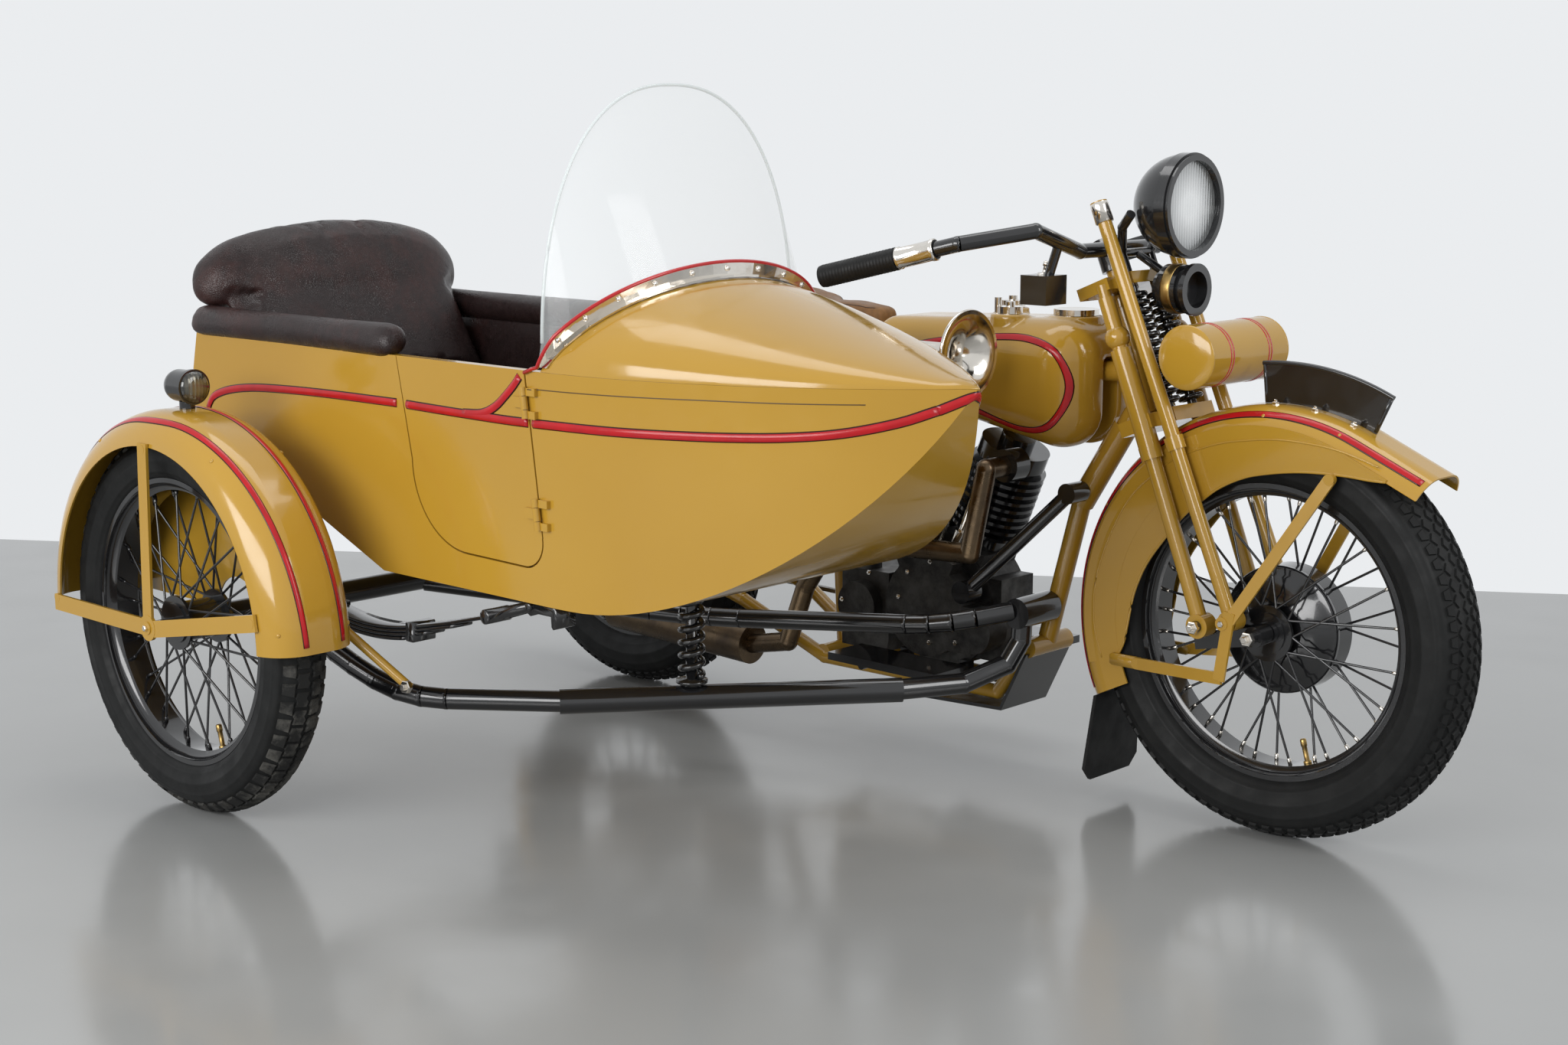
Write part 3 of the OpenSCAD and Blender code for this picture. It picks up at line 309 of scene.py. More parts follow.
def plainMesh(obj):  # what the modifiers give, as the object's own mesh
    made = bpy.data.meshes.new_from_object(obj.evaluated_get(bpy.context.evaluated_depsgraph_get()))
    obj.modifiers.clear()
    old, obj.data = obj.data, made
    bpy.data.meshes.remove(old)
    return obj


def loftLoops(name, loops, finish, closed=False):
    count = len(loops[0])
    verts = [p for loop in loops for p in loop]
    faces = []
    for j in range(len(loops) if closed else len(loops) - 1):
        a, b = j * count, ((j + 1) % len(loops)) * count
        faces += [(a + i, a + (i + 1) % count, b + (i + 1) % count, b + i) for i in range(count)]
    if not closed:
        faces += [tuple(range(count))[::-1], tuple(range((len(loops) - 1) * count, len(loops) * count))]
    obj = meshPiece(name, verts, faces, finish)
    faceOut(obj)
    return obj


def frameAlong(direction, up=Vector((0, 0, 1))):
    direction = direction.normalized()
    if abs(direction.dot(up)) > 0.98:
        up = Vector((1, 0, 0))
    side = direction.cross(up).normalized()
    return side, side.cross(direction).normalized()


def circle(around, side, top):  # unit directions round an axis
    turns = [2 * math.pi * k / around for k in range(around)]
    return [math.cos(a) * side + math.sin(a) * top for a in turns]


def tube(name, path, radius, finish, around=10, closed=False):
    loops = []
    for i, p in enumerate(path):
        before = path[i - 1] if closed or i else p
        after = path[(i + 1) % len(path)] if closed or i < len(path) - 1 else p
        side, top = frameAlong(after - before)
        loops.append([p + radius * way for way in circle(around, side, top)])
    return loftLoops(name, loops, finish, closed)


def lathe(name, start, axis, profile, finish, around=48):  # profile: (distance along the axis, radius) in mm
    side, top = frameAlong(axis)
    axis = axis.normalized()
    ring = circle(around, side, top)
    loops = [[start + axis * along / 1000 + radius / 1000 * way for way in ring] for along, radius in profile]
    return loftLoops(name, loops, finish)


def slab(name, outline, reach, finish):  # outline in (x, z), drawn from one y to the other, in mm
    return loftLoops(name, [[at(x, y, z) for x, z in outline] for y in reach], finish)


def joined(name, pieces):
    bm = bmesh.new()
    for piece in pieces:
        bm.from_mesh(piece.data)
    whole = pieces[0]
    bm.to_mesh(whole.data)
    bm.free()
    for piece in pieces[1:]:
        bpy.data.objects.remove(piece)
    whole.name = name
    return whole


surfaceCache = {}


def treeOf(obj):
    mesh = obj.data
    return BVHTree.FromPolygons([v.co.copy() for v in mesh.vertices], [tuple(p.vertices) for p in mesh.polygons])


def surfaceOf(node):
    if node not in surfaceCache:
        surfaceCache[node] = treeOf(nodes[node])
    return surfaceCache[node]


def smoothPath(points, step, closed=False):  # Catmull-Rom through the points, in 2-D millimetres
    pts = [Vector(p) for p in points]
    n = len(pts)
    out = []
    for i in range(n if closed else n - 1):
        p1, p2 = pts[i], pts[(i + 1) % n]
        p0 = pts[i - 1] if closed or i else 2 * p1 - p2
        p3 = pts[(i + 2) % n] if closed or i < n - 2 else 2 * p2 - p1
        count = max(2, int((p2 - p1).length / step))
        for k in range(count):
            t = k / count
            out.append(0.5 * (2 * p1 + (p2 - p0) * t + (2 * p0 - 5 * p1 + 4 * p2 - p3) * t * t
                              + (3 * p1 - p0 - 3 * p2 + p3) * t ** 3))
    return out if closed else out + [pts[-1]]


# smooth skins where the solids have flat facets
skins = {"fuel_tank": {"name": "tankSkin", "voxel": 0.004, "soften": 5, "sharp": 180},
         "sidecar_cowl": {"name": "cowlSkin", "voxel": None, "soften": 0, "sharp": 38}}
for node, skin in skins.items():
    cover = bpy.data.objects.new(skin["name"], nodes[node].data.copy())
    scene.collection.objects.link(cover)
    faceOut(cover, 0.0002)
    if skin["voxel"]:
        evenMesh(cover, skin["voxel"], skin["soften"])
    cover.data.materials.clear()
    cover.data.materials.append(paint)
    shade(cover, True)
    cover.data.set_sharp_from_angle(angle=math.radians(skin["sharp"]))
    settle(cover, "chassis")
    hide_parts(node)
    surfaceCache[node] = treeOf(cover)
print("skins laid")


# lining: painted strips that follow the surface they lie on
lining = {"step": 9, "sink": 0.4, "columns": (0, 0.1, 0.24, 0.38, 0.5, 0.62, 0.76, 0.9, 1),
          "flat": (0.4, 0.5, 0.5, 0.5, 0.5, 0.5, 0.5, 0.5, 0.4), "low": (0.4, 0.9, 1.3, 1.5, 1.6, 1.5, 1.3, 0.9, 0.4),
          "round": (0.3, 1.5, 2.5, 3.1, 3.3, 3.1, 2.5, 1.5, 0.3)}


def layStripe(name, node, points, ray, body, closed=False, width=15, shape="low", finish=stripeRed):
    path = smoothPath(points, lining["step"], closed)
    surface = surfaceOf(node)
    rows, length = [], 0
    for i, p in enumerate(path):
        before = path[i - 1] if closed or i else p
        after = path[(i + 1) % len(path)] if closed or i < len(path) - 1 else p
        ahead = (after - before).normalized()
        side = Vector((-ahead.y, ahead.x))
        row = []
        for c in lining["columns"]:
            start, aim = ray(*(p + side * (c - 0.5) * width))
            hit, normal = surface.ray_cast(start, aim)[:2]
            if hit is None:
                break
            if normal.dot(aim) > 0:
                normal = -normal
            row.append((hit, normal))
        length += (p - path[i - 1]).length if i else 0
        if len(row) == len(lining["columns"]):
            rows.append((row, length))
    wide = len(lining["columns"])
    verts, uvs = [], []
    for levels in (lining[shape], [-lining["sink"]] * wide):
        for row, far in rows:
            verts += [hit + normal * level / 1000 for (hit, normal), level in zip(row, levels)]
            uvs += [(far / width, c) for c in lining["columns"]]
    base = len(rows) * wide
    faces = []
    count = len(rows)
    for j in range(count if closed else count - 1):
        a, b = j * wide, ((j + 1) % count) * wide
        for i in range(wide - 1):
            faces += [(a + i, a + i + 1, b + i + 1, b + i), (base + a + i, base + b + i, base + b + i + 1, base + a + i + 1)]
        for i in (0, wide - 1):
            faces.append((a + i, b + i, base + b + i, base + a + i))
    if not closed:
        for a in (0, (count - 1) * wide):
            faces += [(a + i, base + a + i, base + a + i + 1, a + i + 1) for i in range(wide - 1)]
    strip = meshPiece(name, verts, faces, finish, uvs)
    faceOut(strip)
    return settle(strip, body)


def fromRight(x, z):
    return at(x, carMid - 700, z), Vector((0, 1, 0))


def fromLeft(x, z):
    return at(x, carMid + 700, z), Vector((0, -1, 0))


def fromFront(y, z):
    return at(200, y, z), Vector((-1, 0, 0))


beltLine = {"rear": [(-1604, 655), (-1590, 674), (-1556, 688), (-1497, 699), (-1416, 705.5), (-1262, 710),
                     (-1054, 711.5)],
            "door": [(-1046, 711.5), (-911, 709.5), (-789, 708.5), (-729, 709)],
            "front": [(-718, 709), (-655, 710), (-546, 710.6), (-453, 712), (-371, 713.8),
                      (-297, 717.2), (-230, 724.8), (-169, 740.5), (-128, 758.5)],
            "nose": [(-724, 757.5), (-713, 763.5), (-699, 771), (-688, 776), (-680, 778), (-672, 776), (-661, 771),
                     (-647, 763.5), (-636, 757.5)],
            "branch": [(-884, 710), (-838, 714), (-806, 727), (-782, 745), (-760, 764), (-747, 778)],
            "seam": [(-722, 761), (-545, 763.5), (-410, 765.5), (-297, 765.5), (-204, 766)]}
beltLine["whole"] = beltLine["rear"] + beltLine["door"][1:3] + beltLine["front"][1:]
beads = {"hullLineRear": ("rear", fromRight, "chassis"), "doorLine": ("door", fromRight, "door"),
         "hullLineFront": ("front", fromRight, "chassis"), "hullLineNose": ("nose", fromFront, "chassis"),
         "doorBranch": ("branch", fromRight, "door"), "hullLineLeft": ("whole", fromLeft, "chassis"),
         "hullBranchLeft": ("branch", fromLeft, "chassis")}
for name, (line, ray, body) in beads.items():
    layStripe(name, "sidecar_door" if body == "door" else "sidecar_hull", beltLine[line], ray, body, shape="round")
# painted shadow: thin dark lines along the cowl-to-hull seam on both sides
for name, ray in (("seamRight", fromRight), ("seamLeft", fromLeft)):
    layStripe(name, "sidecar_hull", beltLine["seam"], ray, "chassis", width=1.6, shape="flat", finish=paintedSeamShadow)

tankLine = [(-718, 761.5), (-635, 779), (-511, 793), (-440, 793), (-388, 776), (-365, 728), (-373, 680), (-405, 646),
            (-470, 639), (-560, 662), (-645, 688), (-715, 714), (-750, 735), (-745, 752)]


def besideTank(side):
    return lambda x, z: (at(x, side * 400, z), Vector((0, -side, 0)))


for name, side in (("tankLineRight", -1), ("tankLineLeft", 1)):
    layStripe(name, "fuel_tank", tankLine, besideTank(side), "chassis", closed=True, width=12)


def overFender(cx, cy, cz, radius, tipAngle=None):  # path runs along the crown in mm from angle 0, and across
    def ray(along, across):
        angle = along / radius
        extra = 0
        if tipAngle and angle < tipAngle:
            extra, angle = (tipAngle - angle) * radius, tipAngle
        out = Vector((math.cos(angle), 0, math.sin(angle)))
        ahead = Vector((math.sin(angle), 0, -math.cos(angle)))
        start = at(cx, cy + across, cz) + out * (radius + 160) / 1000 + ahead * extra / 1000
        return start, -out
    return ray


fenderLines = {"front": {"node": "front_fender", "body": "steering", "centre": (0, 0, 343.5), "radius": 369.5,
                         "from": 46, "to": 204, "right": (50, 54, 54), "left": (50, 54, 54), "tip": 66},
               "rear": {"node": "rear_fender", "body": "chassis", "centre": (-1524, 0, 343.5), "radius": 369.5,
                        "from": 16, "to": 194, "right": (52, 52, 52), "left": (52, 52, 52), "tip": None},
               "sidecar": {"node": "sidecar_fender", "body": "chassis", "centre": (-1400, -1134, 330), "radius": 358,
                           "from": 2, "to": 178, "right": (28, 62, 42), "left": (44, 22, 42), "tip": None}}


def fenderRay(f):
    return overFender(*f["centre"], f["radius"], math.radians(f["tip"]) if f["tip"] else None)


def threeWay(values, t):  # first, middle and last value, with t from 0 to 1
    a, b, c = values
    return a + (b - a) * t * 2 if t < 0.5 else b + (c - b) * (t * 2 - 1)


for name, f in fenderLines.items():
    ray = fenderRay(f)
    for label, side in (("Right", -1), ("Left", 1)):
        ends = [math.radians(f[end]) * f["radius"] for end in ("from", "to")]
        pts = [(ends[0] + (ends[1] - ends[0]) * i / 12, side * threeWay(f[label.lower()], i / 12)) for i in range(13)]
        layStripe(name + "FenderLine" + label, f["node"], pts, ray, f["body"], width=10.5)
print("lining laid")

# front fender: its side plates with a rolled edge, and the seam above them
skirt = {"low": [(-272, 262), (-258, 292), (-251, 326), (-240, 379), (-217, 432), (-180, 483), (-147, 522), (-114, 551),
                 (-79, 577), (-34, 598), (10, 609), (54, 616), (98, 619), (149, 619), (183, 617), (212, 617)],
         "seam": [(-301, 259), (-319, 320), (-313, 409), (-262, 526), (-190, 598), (-137, 628), (-82, 648),
                  (-37, 657), (8, 663), (52, 664), (113, 660), (165, 649), (198, 639)],
         "top": 340, "inner": 66.3, "outer": 68.7}
lowEdge = smoothPath(skirt["low"], 8)
topEdge = []
hub, tipOut = Vector((0, 343.5)), Vector((math.cos(math.radians(66)), math.sin(math.radians(66))))
for p in lowEdge:
    rise = p - hub
    if rise.x > 0 and math.atan2(rise.y, rise.x) < math.radians(66):
        topEdge.append(p + tipOut * (skirt["top"] - rise.dot(tipOut)))
    else:
        topEdge.append(hub + rise * skirt["top"] / rise.length)
for label, side in (("Right", -1), ("Left", 1)):
    loops = [[at(p.x, side * skirt[k], p.y) for p, k in ((a, "inner"), (a, "outer"), (b, "outer"), (b, "inner"))]
             for a, b in zip(lowEdge, topEdge)]
    plate = loftLoops("fenderSkirt" + label, loops, paint)
    shade(plate, False)
    settle(plate, "steering")
    for part, path, y, r in (("Roll", lowEdge, 67.5, 0.0022), ("Seam", smoothPath(skirt["seam"], 10), 68.9, 0.0015)):
        settle(tube("fender" + part + label, [at(p.x, side * y, p.y) for p in path], r, paint), "steering")
    strap = slab("skirtStrap" + label, [(-280, 255), (-276, 252), (-222, 252), (-218, 262), (-222, 272), (-276, 272), (-280, 269)],
                 sorted((side * 68, side * 76.5)), paint)
    settle(strap, "steering")


# repeated small parts, put on points by one node tree
def scatterTree():
    tree = bpy.data.node_groups.new("scatterOnPoints", "GeometryNodeTree")
    for label, kind in (("Points", "NodeSocketGeometry"), ("Piece", "NodeSocketObject"), ("Size", "NodeSocketFloat"),
                        ("Finish", "NodeSocketMaterial")):
        tree.interface.new_socket(label, in_out="INPUT", socket_type=kind)
    tree.interface.new_socket("Geometry", in_out="OUTPUT", socket_type="NodeSocketGeometry")
    make, tie = tree.nodes.new, tree.links.new
    given, result = make("NodeGroupInput"), make("NodeGroupOutput")
    info, put = make("GeometryNodeObjectInfo"), make("GeometryNodeInstanceOnPoints")
    turn, euler = make("GeometryNodeInputNamedAttribute"), make("FunctionNodeEulerToRotation")
    real, coat = make("GeometryNodeRealizeInstances"), make("GeometryNodeSetMaterial")
    turn.data_type = "FLOAT_VECTOR"
    turn.inputs["Name"].default_value = "turn"
    tie(given.outputs["Points"], put.inputs["Points"])
    tie(given.outputs["Piece"], info.inputs["Object"])
    tie(info.outputs["Geometry"], put.inputs["Instance"])
    tie(turn.outputs["Attribute"], euler.inputs["Euler"])
    tie(euler.outputs["Rotation"], put.inputs["Rotation"])
    tie(given.outputs["Size"], put.inputs["Scale"])
    tie(put.outputs["Instances"], real.inputs["Geometry"])
    tie(real.outputs["Geometry"], coat.inputs["Geometry"])
    tie(given.outputs["Finish"], coat.inputs["Material"])
    tie(coat.outputs["Geometry"], result.inputs["Geometry"])
    return tree


scatterOnPoints = scatterTree()
scatterKeys = {item.name: item.identifier for item in scatterOnPoints.interface.items_tree if item.in_out == "INPUT"}


def pointing(direction, along=None):  # turn that sends local Z to direction and local X near along
    z = direction.normalized()
    if along is None:
        along = Vector((1, 0, 0)) if abs(z.x) < 0.9 else Vector((0, 0, 1))
    y = z.cross(along).normalized()
    x = y.cross(z)
    return Matrix((x, y, z)).transposed().to_euler()


def scatter(name, spots, shape, finish, body, size=1.0, smooth=False):  # spots: (place, turn)
    mesh = bpy.data.meshes.new(name)
    mesh.from_pydata([tuple(p) for p, turn in spots], [], [])
    turns = mesh.attributes.new("turn", "FLOAT_VECTOR", "POINT")
    turns.data.foreach_set("vector", [c for p, turn in spots for c in turn])
    obj = bpy.data.objects.new(name, mesh)
    scene.collection.objects.link(obj)
    piece = meshPiece(name + "Shape", *shape, finish, smooth=smooth)
    faceOut(piece)
    mod = obj.modifiers.new("scatter", "NODES")
    mod.node_group = scatterOnPoints
    mod[scatterKeys["Piece"]] = piece
    mod[scatterKeys["Size"]] = size
    mod[scatterKeys["Finish"]] = finish
    obj.update_tag()
    bpy.context.view_layer.update()
    plainMesh(obj)
    bpy.data.objects.remove(piece)
    return settle(obj, body)


def turned(profile, sides):  # small turned shape: (height, radius) in mm from the seat up
    verts, faces = [], []
    for h, r in profile:
        ring = [2 * math.pi * k / sides for k in range(sides)]
        verts += [Vector((r * math.cos(a), r * math.sin(a), h)) / 1000 for a in ring]
    for j in range(len(profile) - 1):
        low, high = j * sides, (j + 1) * sides
        faces += [(low + k, low + (k + 1) % sides, high + (k + 1) % sides, high + k) for k in range(sides)]
    last = (len(profile) - 1) * sides
    faces += [tuple(range(sides))[::-1], tuple(range(last, last + sides))]
    return verts, faces


def prism(outline, height, shrink):  # block with a smaller top, in mm
    n = len(outline)
    verts = [Vector((x, y, -0.6)) / 1000 for x, y in outline]
    verts += [Vector((x * shrink, y * shrink, height)) / 1000 for x, y in outline]
    faces = [(i, (i + 1) % n, n + (i + 1) % n, n + i) for i in range(n)]
    faces += [tuple(range(n))[::-1], tuple(range(n, 2 * n))]
    return verts, faces


roundScrew = turned([(-1, 4.6), (1.4, 4.6), (2.6, 3.7), (3.1, 2.1)], 12)
hexBolt = turned([(-1, 7), (5.0, 7), (5.6, 6.2), (5.6, 3.0), (9.5, 3.0), (10.2, 2.2)], 6)
domeRivet = turned([(-0.5, 3.6), (0.8, 3.4), (1.7, 2.5), (2.1, 1.1)], 10)
pinNut = turned([(-1, 11), (6.5, 11), (8, 9.6), (8, 5.4), (13, 5.4), (14, 4.4)], 6)
spokeNipple = turned([(-3, 3.5), (9, 3.5), (11, 2.9), (12, 2.3)], 8)


def onSurface(node, start, aim):
    hit, normal = surfaceOf(node).ray_cast(start, aim)[:2]
    if hit is None:
        return None
    if normal.dot(aim) > 0:
        normal = -normal
    return hit, pointing(normal)


# tyres
tyres = {"front": {"node": "front_tyre", "body": "front_wheel_body", "centre": (0, 0, 343.5), "outer": 343.5, "width": 114},
         "rear": {"node": "rear_tyre", "body": "rear_wheel_body", "centre": (-1524, 0, 343.5), "outer": 343.5, "width": 114},
         "sidecar": {"node": "side_tyre", "body": "side_wheel_body", "centre": (-1400, -1134, 330), "outer": 330, "width": 102}}
tread = {"depth": 3.4, "shoulder": 52, "around": 132, "rimRadius": 244.3}


def ease(t):
    t = max(0.0, min(1.0, t))
    return t * t * (3 - 2 * t)


def sectionRadius(degrees, half):  # worn crown under the blocks, two rings on the wall, a bead line
    d = abs(degrees)
    r = half - tread["depth"] * (1 - ease((d - tread["shoulder"]) / 10))
    for mid, high in ((74, 0.9), (96, 0.7), (118, 1.1)):
        r += high * max(0, 1 - ((d - mid) / 2.2) ** 2)
    return r


def wheelPoint(centre, angle, radius, across):
    return at(centre[0] + radius * math.cos(angle), centre[1] + across, centre[2] + radius * math.sin(angle))


for name, t in tyres.items():
    half = t["width"] / 2
    mid = t["outer"] - half
    reach = math.degrees(math.acos((tread["rimRadius"] - mid) / half))
    marks = sorted({-reach, reach} | {s * d for d in (0, 12, 24, 36, 46, 52, 55, 58, 62, 67, 71.8, 74, 76.2, 84, 93.8, 96,
                                                         98.2, 107, 115.8, 118, 120.2, 127) for s in (-1, 1) if d < reach - 2})
    loops = []
    for k in range(tread["around"]):
        angle = 2 * math.pi * k / tread["around"]
        loop = []
        for d in marks:
            r = sectionRadius(d, half)
            loop.append(wheelPoint(t["centre"], angle, mid + r * math.cos(math.radians(d)), r * math.sin(math.radians(d))))
        loops.append(loop)
    tyre = loftLoops(name + "TyreBody", loops, tyreRubber, closed=True)
    settle(tyre, t["body"])
    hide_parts(t["node"])
    spots = {"wide": [], "edge": []}
    if name == "sidecar":
        rows = [(-41, 62, 0, "edge"), (41, 62, 0.5, "edge"), (-15, 62, 0.5, "wide"), (15, 62, 0, "wide")]
    else:
        rows = [(-44, 84, 0.5, "edge"), (44, 84, 0.5, "edge"), (-30, 84, 0, "wide"), (30, 84, 0, "wide"),
                (-15, 84, 0.5, "wide"), (15, 84, 0.5, "wide"), (0, 84, 0, "wide")]
    for lean, count, shift, kind in rows:
        r = half - tread["depth"]
        for k in range(count):
            angle = 2 * math.pi * (k + shift) / count
            spin = Vector((math.cos(angle), 0, math.sin(angle)))
            out = spin * math.cos(math.radians(lean)) + Vector((0, math.sin(math.radians(lean)), 0))
            p = wheelPoint(t["centre"], angle, mid + r * math.cos(math.radians(lean)), r * math.sin(math.radians(lean)))
            spots[kind].append((p, pointing(out, Vector((-math.sin(angle), 0, math.cos(angle))))))
    if name == "sidecar":
        block = [(-13, -9), (-4, -12), (4, -8), (13, -11), (13, 8), (4, 11), (-4, 7), (-13, 10)]
        shapes = {"wide": prism(block, tread["depth"], 0.9),
                  "edge": prism([(-12, -11), (12, -11), (9, 11), (-9, 11)], tread["depth"], 0.88)}
    else:
        shapes = {"wide": prism([(-11.6, 0), (0, -6.6), (11.6, 0), (0, 6.6)], tread["depth"], 0.82),
                  "edge": prism([(-10.5, -5), (10.5, -5), (7, 6), (-7, 6)], tread["depth"], 0.85)}
    blockFinish = dustyRubber if name == "sidecar" else tyreRubber
    for kind in spots:
        scatter(name + "Tread" + kind.title(), spots[kind], shapes[kind], blockFinish, t["body"])

# spoke nipples and the valve on each wheel
spokes = {"count": 40, "flange": 41, "flangeY": 38, "rim": 232, "rimY": 6}
for name, t in tyres.items():
    spots = []
    for i in range(spokes["count"]):
        side = 1 if i % 2 == 0 else -1
        lean = 30 if (i // 2) % 2 == 0 else -30
        a = math.radians(360 * i / spokes["count"])
        inner = wheelPoint(t["centre"], a + math.radians(lean), spokes["flange"], side * spokes["flangeY"])
        outer = wheelPoint(t["centre"], a, spokes["rim"], side * spokes["rimY"])
        way = (inner - outer).normalized()
        spots.append((outer + way * 0.0095, pointing(way)))
    slotName = "black_enamel" if name == "sidecar" else "nickel"
    scatter(name + "Nipples", spots, spokeNipple, finishOf[slotName], t["body"], smooth=True)
    a = math.radians(-74)
    way = -Vector((math.cos(a), 0, math.sin(a)))
    stem = lathe(name + "ValveStem", wheelPoint(t["centre"], a, 224, 0), way,
                 [(0, 6.5), (6, 6.5), (7, 4.2), (30, 4.2), (31, 5.2), (41, 5.2), (43, 3.6)], brass, 14)
    settle(stem, t["body"])
print("tyres and spokes dressed")


# leather pads: stuffed by a short cloth run, then capped in how far they moved
back = {"half": 288, "top": 982, "foot": 831, "lean": 0.34, "rows": 64, "ring": 32,
        "wedge": [(-1606, 912, 0), (-1563, 912, 1), (-1478, 687, 0.5), (-1545, 687, 0)], "reach": 262}


def fuller(value, power):  # keeps the sign
    return math.copysign(abs(value) ** power, value)


def backSection(y):  # front, rear and top of the back's upper roll at this distance from the car's middle
    s = abs(y) / back["half"]
    return -1554 - 44 * s ** 3, -1650 - 20 * s ** 2.5, back["top"] - 55 * s ** 2 - 40 * max(0, (s - 0.7) / 0.3) ** 2


def backShape(name):
    loops = []
    for j in range(back["rows"] + 1):
        y = back["half"] * (2 * j / back["rows"] - 1)
        front, rear, top = backSection(y)
        draw = math.sqrt(max(0.1, 1 - (max(0, abs(y) - 264) / 24) ** 2))
        loop = []
        for k in range(back["ring"]):
            a = 2 * math.pi * k / back["ring"]
            high = draw * (top - back["foot"]) / 2 * fuller(math.sin(a), 0.7)
            deep = draw * (front - rear) / 2 * fuller(math.cos(a), 0.7)
            loop.append(at((front + rear) / 2 + deep - back["lean"] * high, carMid + y, (top + back["foot"]) / 2 + high))
        loops.append(loop)
    upper = loftLoops("backUpper", loops, seatHide)
    loops = []
    for j in range(25):
        y = back["reach"] * (j / 12 - 1)
        bend = -44 * (abs(y) / back["half"]) ** 3 - 14 * max(0, abs(y) / back["reach"] - 0.85) / 0.15
        loops.append([at(x + bend * part, carMid + y, z) for x, z, part in back["wedge"]])
    return joined(name, [upper, loftLoops("backWedge", loops, seatHide)])


rolls = {"right": {"side": -1, "front": -1061}, "left": {"side": 1, "front": -724}, "rear": -1643, "out": 272,
         "thick": 27.5, "height": 810, "pleats": 11, "ring": 44}


def rollShape(name):
    made = []
    for label in ("right", "left"):
        side, front = rolls[label]["side"], rolls[label]["front"]
        long = front - rolls["rear"]
        loops = []
        sections = [(0, 0.3), (3, 0.62), (9, 0.84), (18, 0.95), (34, 1), (long / 2, 1.02), (long - 60, 1.02),
                    (long - 34, 1.03), (long - 18, 0.97), (long - 9, 0.86), (long - 3, 0.64), (long, 0.3)]
        for far, share in sections:
            gather = max(0, 1 - min(far, long - far) / 40)
            loop = []
            for k in range(rolls["ring"]):
                a = 2 * math.pi * k / rolls["ring"]
                r = rolls["thick"] * share * (1 + 0.05 * gather * math.cos(rolls["pleats"] * a))
                drape = 8 * max(0, math.cos(a)) ** 1.5
                across = carMid + side * (rolls["out"] + r * math.cos(a))
                loop.append(at(rolls["rear"] + far, across, rolls["height"] + r * math.sin(a) - drape))
            loops.append(loop)
        made.append(loftLoops("roll" + label, loops, seatHide))
    return joined(name, made)


pads = {"seat_back": {"name": "seatBack", "shape": backShape, "voxel": 0.005, "soften": 22, "pressure": 4.0,
                      "cap": 0.012, "shrink": 0.002, "fill": 0.75},
        "seat_cushion": {"name": "seatCushion", "shape": None, "voxel": 0.006, "soften": 12, "pressure": 4.0,
                         "cap": 0.018, "shrink": 0.007, "fill": 0.7},
        "arm_rolls": {"name": "armRolls", "shape": rollShape, "voxel": 0.0045, "soften": 3, "pressure": 3.0,
                      "cap": 0.004, "shrink": 0.001, "fill": 0.85}}


def stuffedPad(node, pad):
    if pad["shape"]:
        obj = pad["shape"](pad["name"])
    else:
        obj = bpy.data.objects.new(pad["name"], nodes[node].data.copy())
        scene.collection.objects.link(obj)
    faceOut(obj, 0.0002)
    evenMesh(obj, pad["voxel"], pad["soften"])
    mesh = obj.data
    for v in mesh.vertices:  # start a little small, because the pad swells
        v.co -= v.normal * pad["shrink"]
    start = [v.co.copy() for v in mesh.vertices]
    cloth = obj.modifiers.new("stuffing", "CLOTH")
    cloth.settings.quality = 5
    cloth.settings.mass = 0.3
    cloth.settings.tension_stiffness = 12
    cloth.settings.compression_stiffness = 12
    cloth.settings.bending_stiffness = 0.4
    cloth.settings.use_pressure = True
    cloth.settings.uniform_pressure_force = pad["pressure"]
    cloth.settings.effector_weights.gravity = 0
    cloth.point_cache.frame_start, cloth.point_cache.frame_end = 1, 20
    for step in range(1, 21):
        scene.frame_set(step)
    shaped = obj.evaluated_get(bpy.context.evaluated_depsgraph_get()).data
    moved = [v.co.copy() for v in shaped.vertices]
    obj.modifiers.clear()
    for v, was, now in zip(mesh.vertices, start, moved):
        shift = now - was
        if shift.length > pad["cap"]:
            shift *= pad["cap"] / shift.length
        v.co = was + shift
    for slotIndex in range(len(mesh.materials)):
        mesh.materials[slotIndex] = seatHide
    if not mesh.materials:
        mesh.materials.append(seatHide)
    shade(obj, True)
    mesh.update()
    settle(obj, "chassis")
    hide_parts(node)
    return obj


padded = {node: stuffedPad(node, pad) for node, pad in pads.items()}
scene.frame_set(1)
print("leather stuffed")


def welt(name, surface, rays, radius, finish, body):
    path = []
    for start, aim in rays:
        hit = surface.ray_cast(start, aim)[0]
        if hit is not None:
            path.append(hit - aim * radius * 0.2)
    return settle(tube(name, path, radius, finish, 8), body)


backTree, cushionTree = treeOf(padded["seat_back"]), treeOf(padded["seat_cushion"])
down = Vector((0, 0, -1))
backRays = [(at(backSection(y)[1] - 8, carMid + y, 1150), down) for y in range(-279, 280, 9)]
cushionRays = [(at(-1178, carMid + y, 900), down) for y in range(-240, 241, 12)]
welt("backWelt", backTree, backRays, 0.0045, seatHide, "chassis")
welt("cushionWelt", cushionTree, cushionRays, 0.0045, seatHide, "chassis")

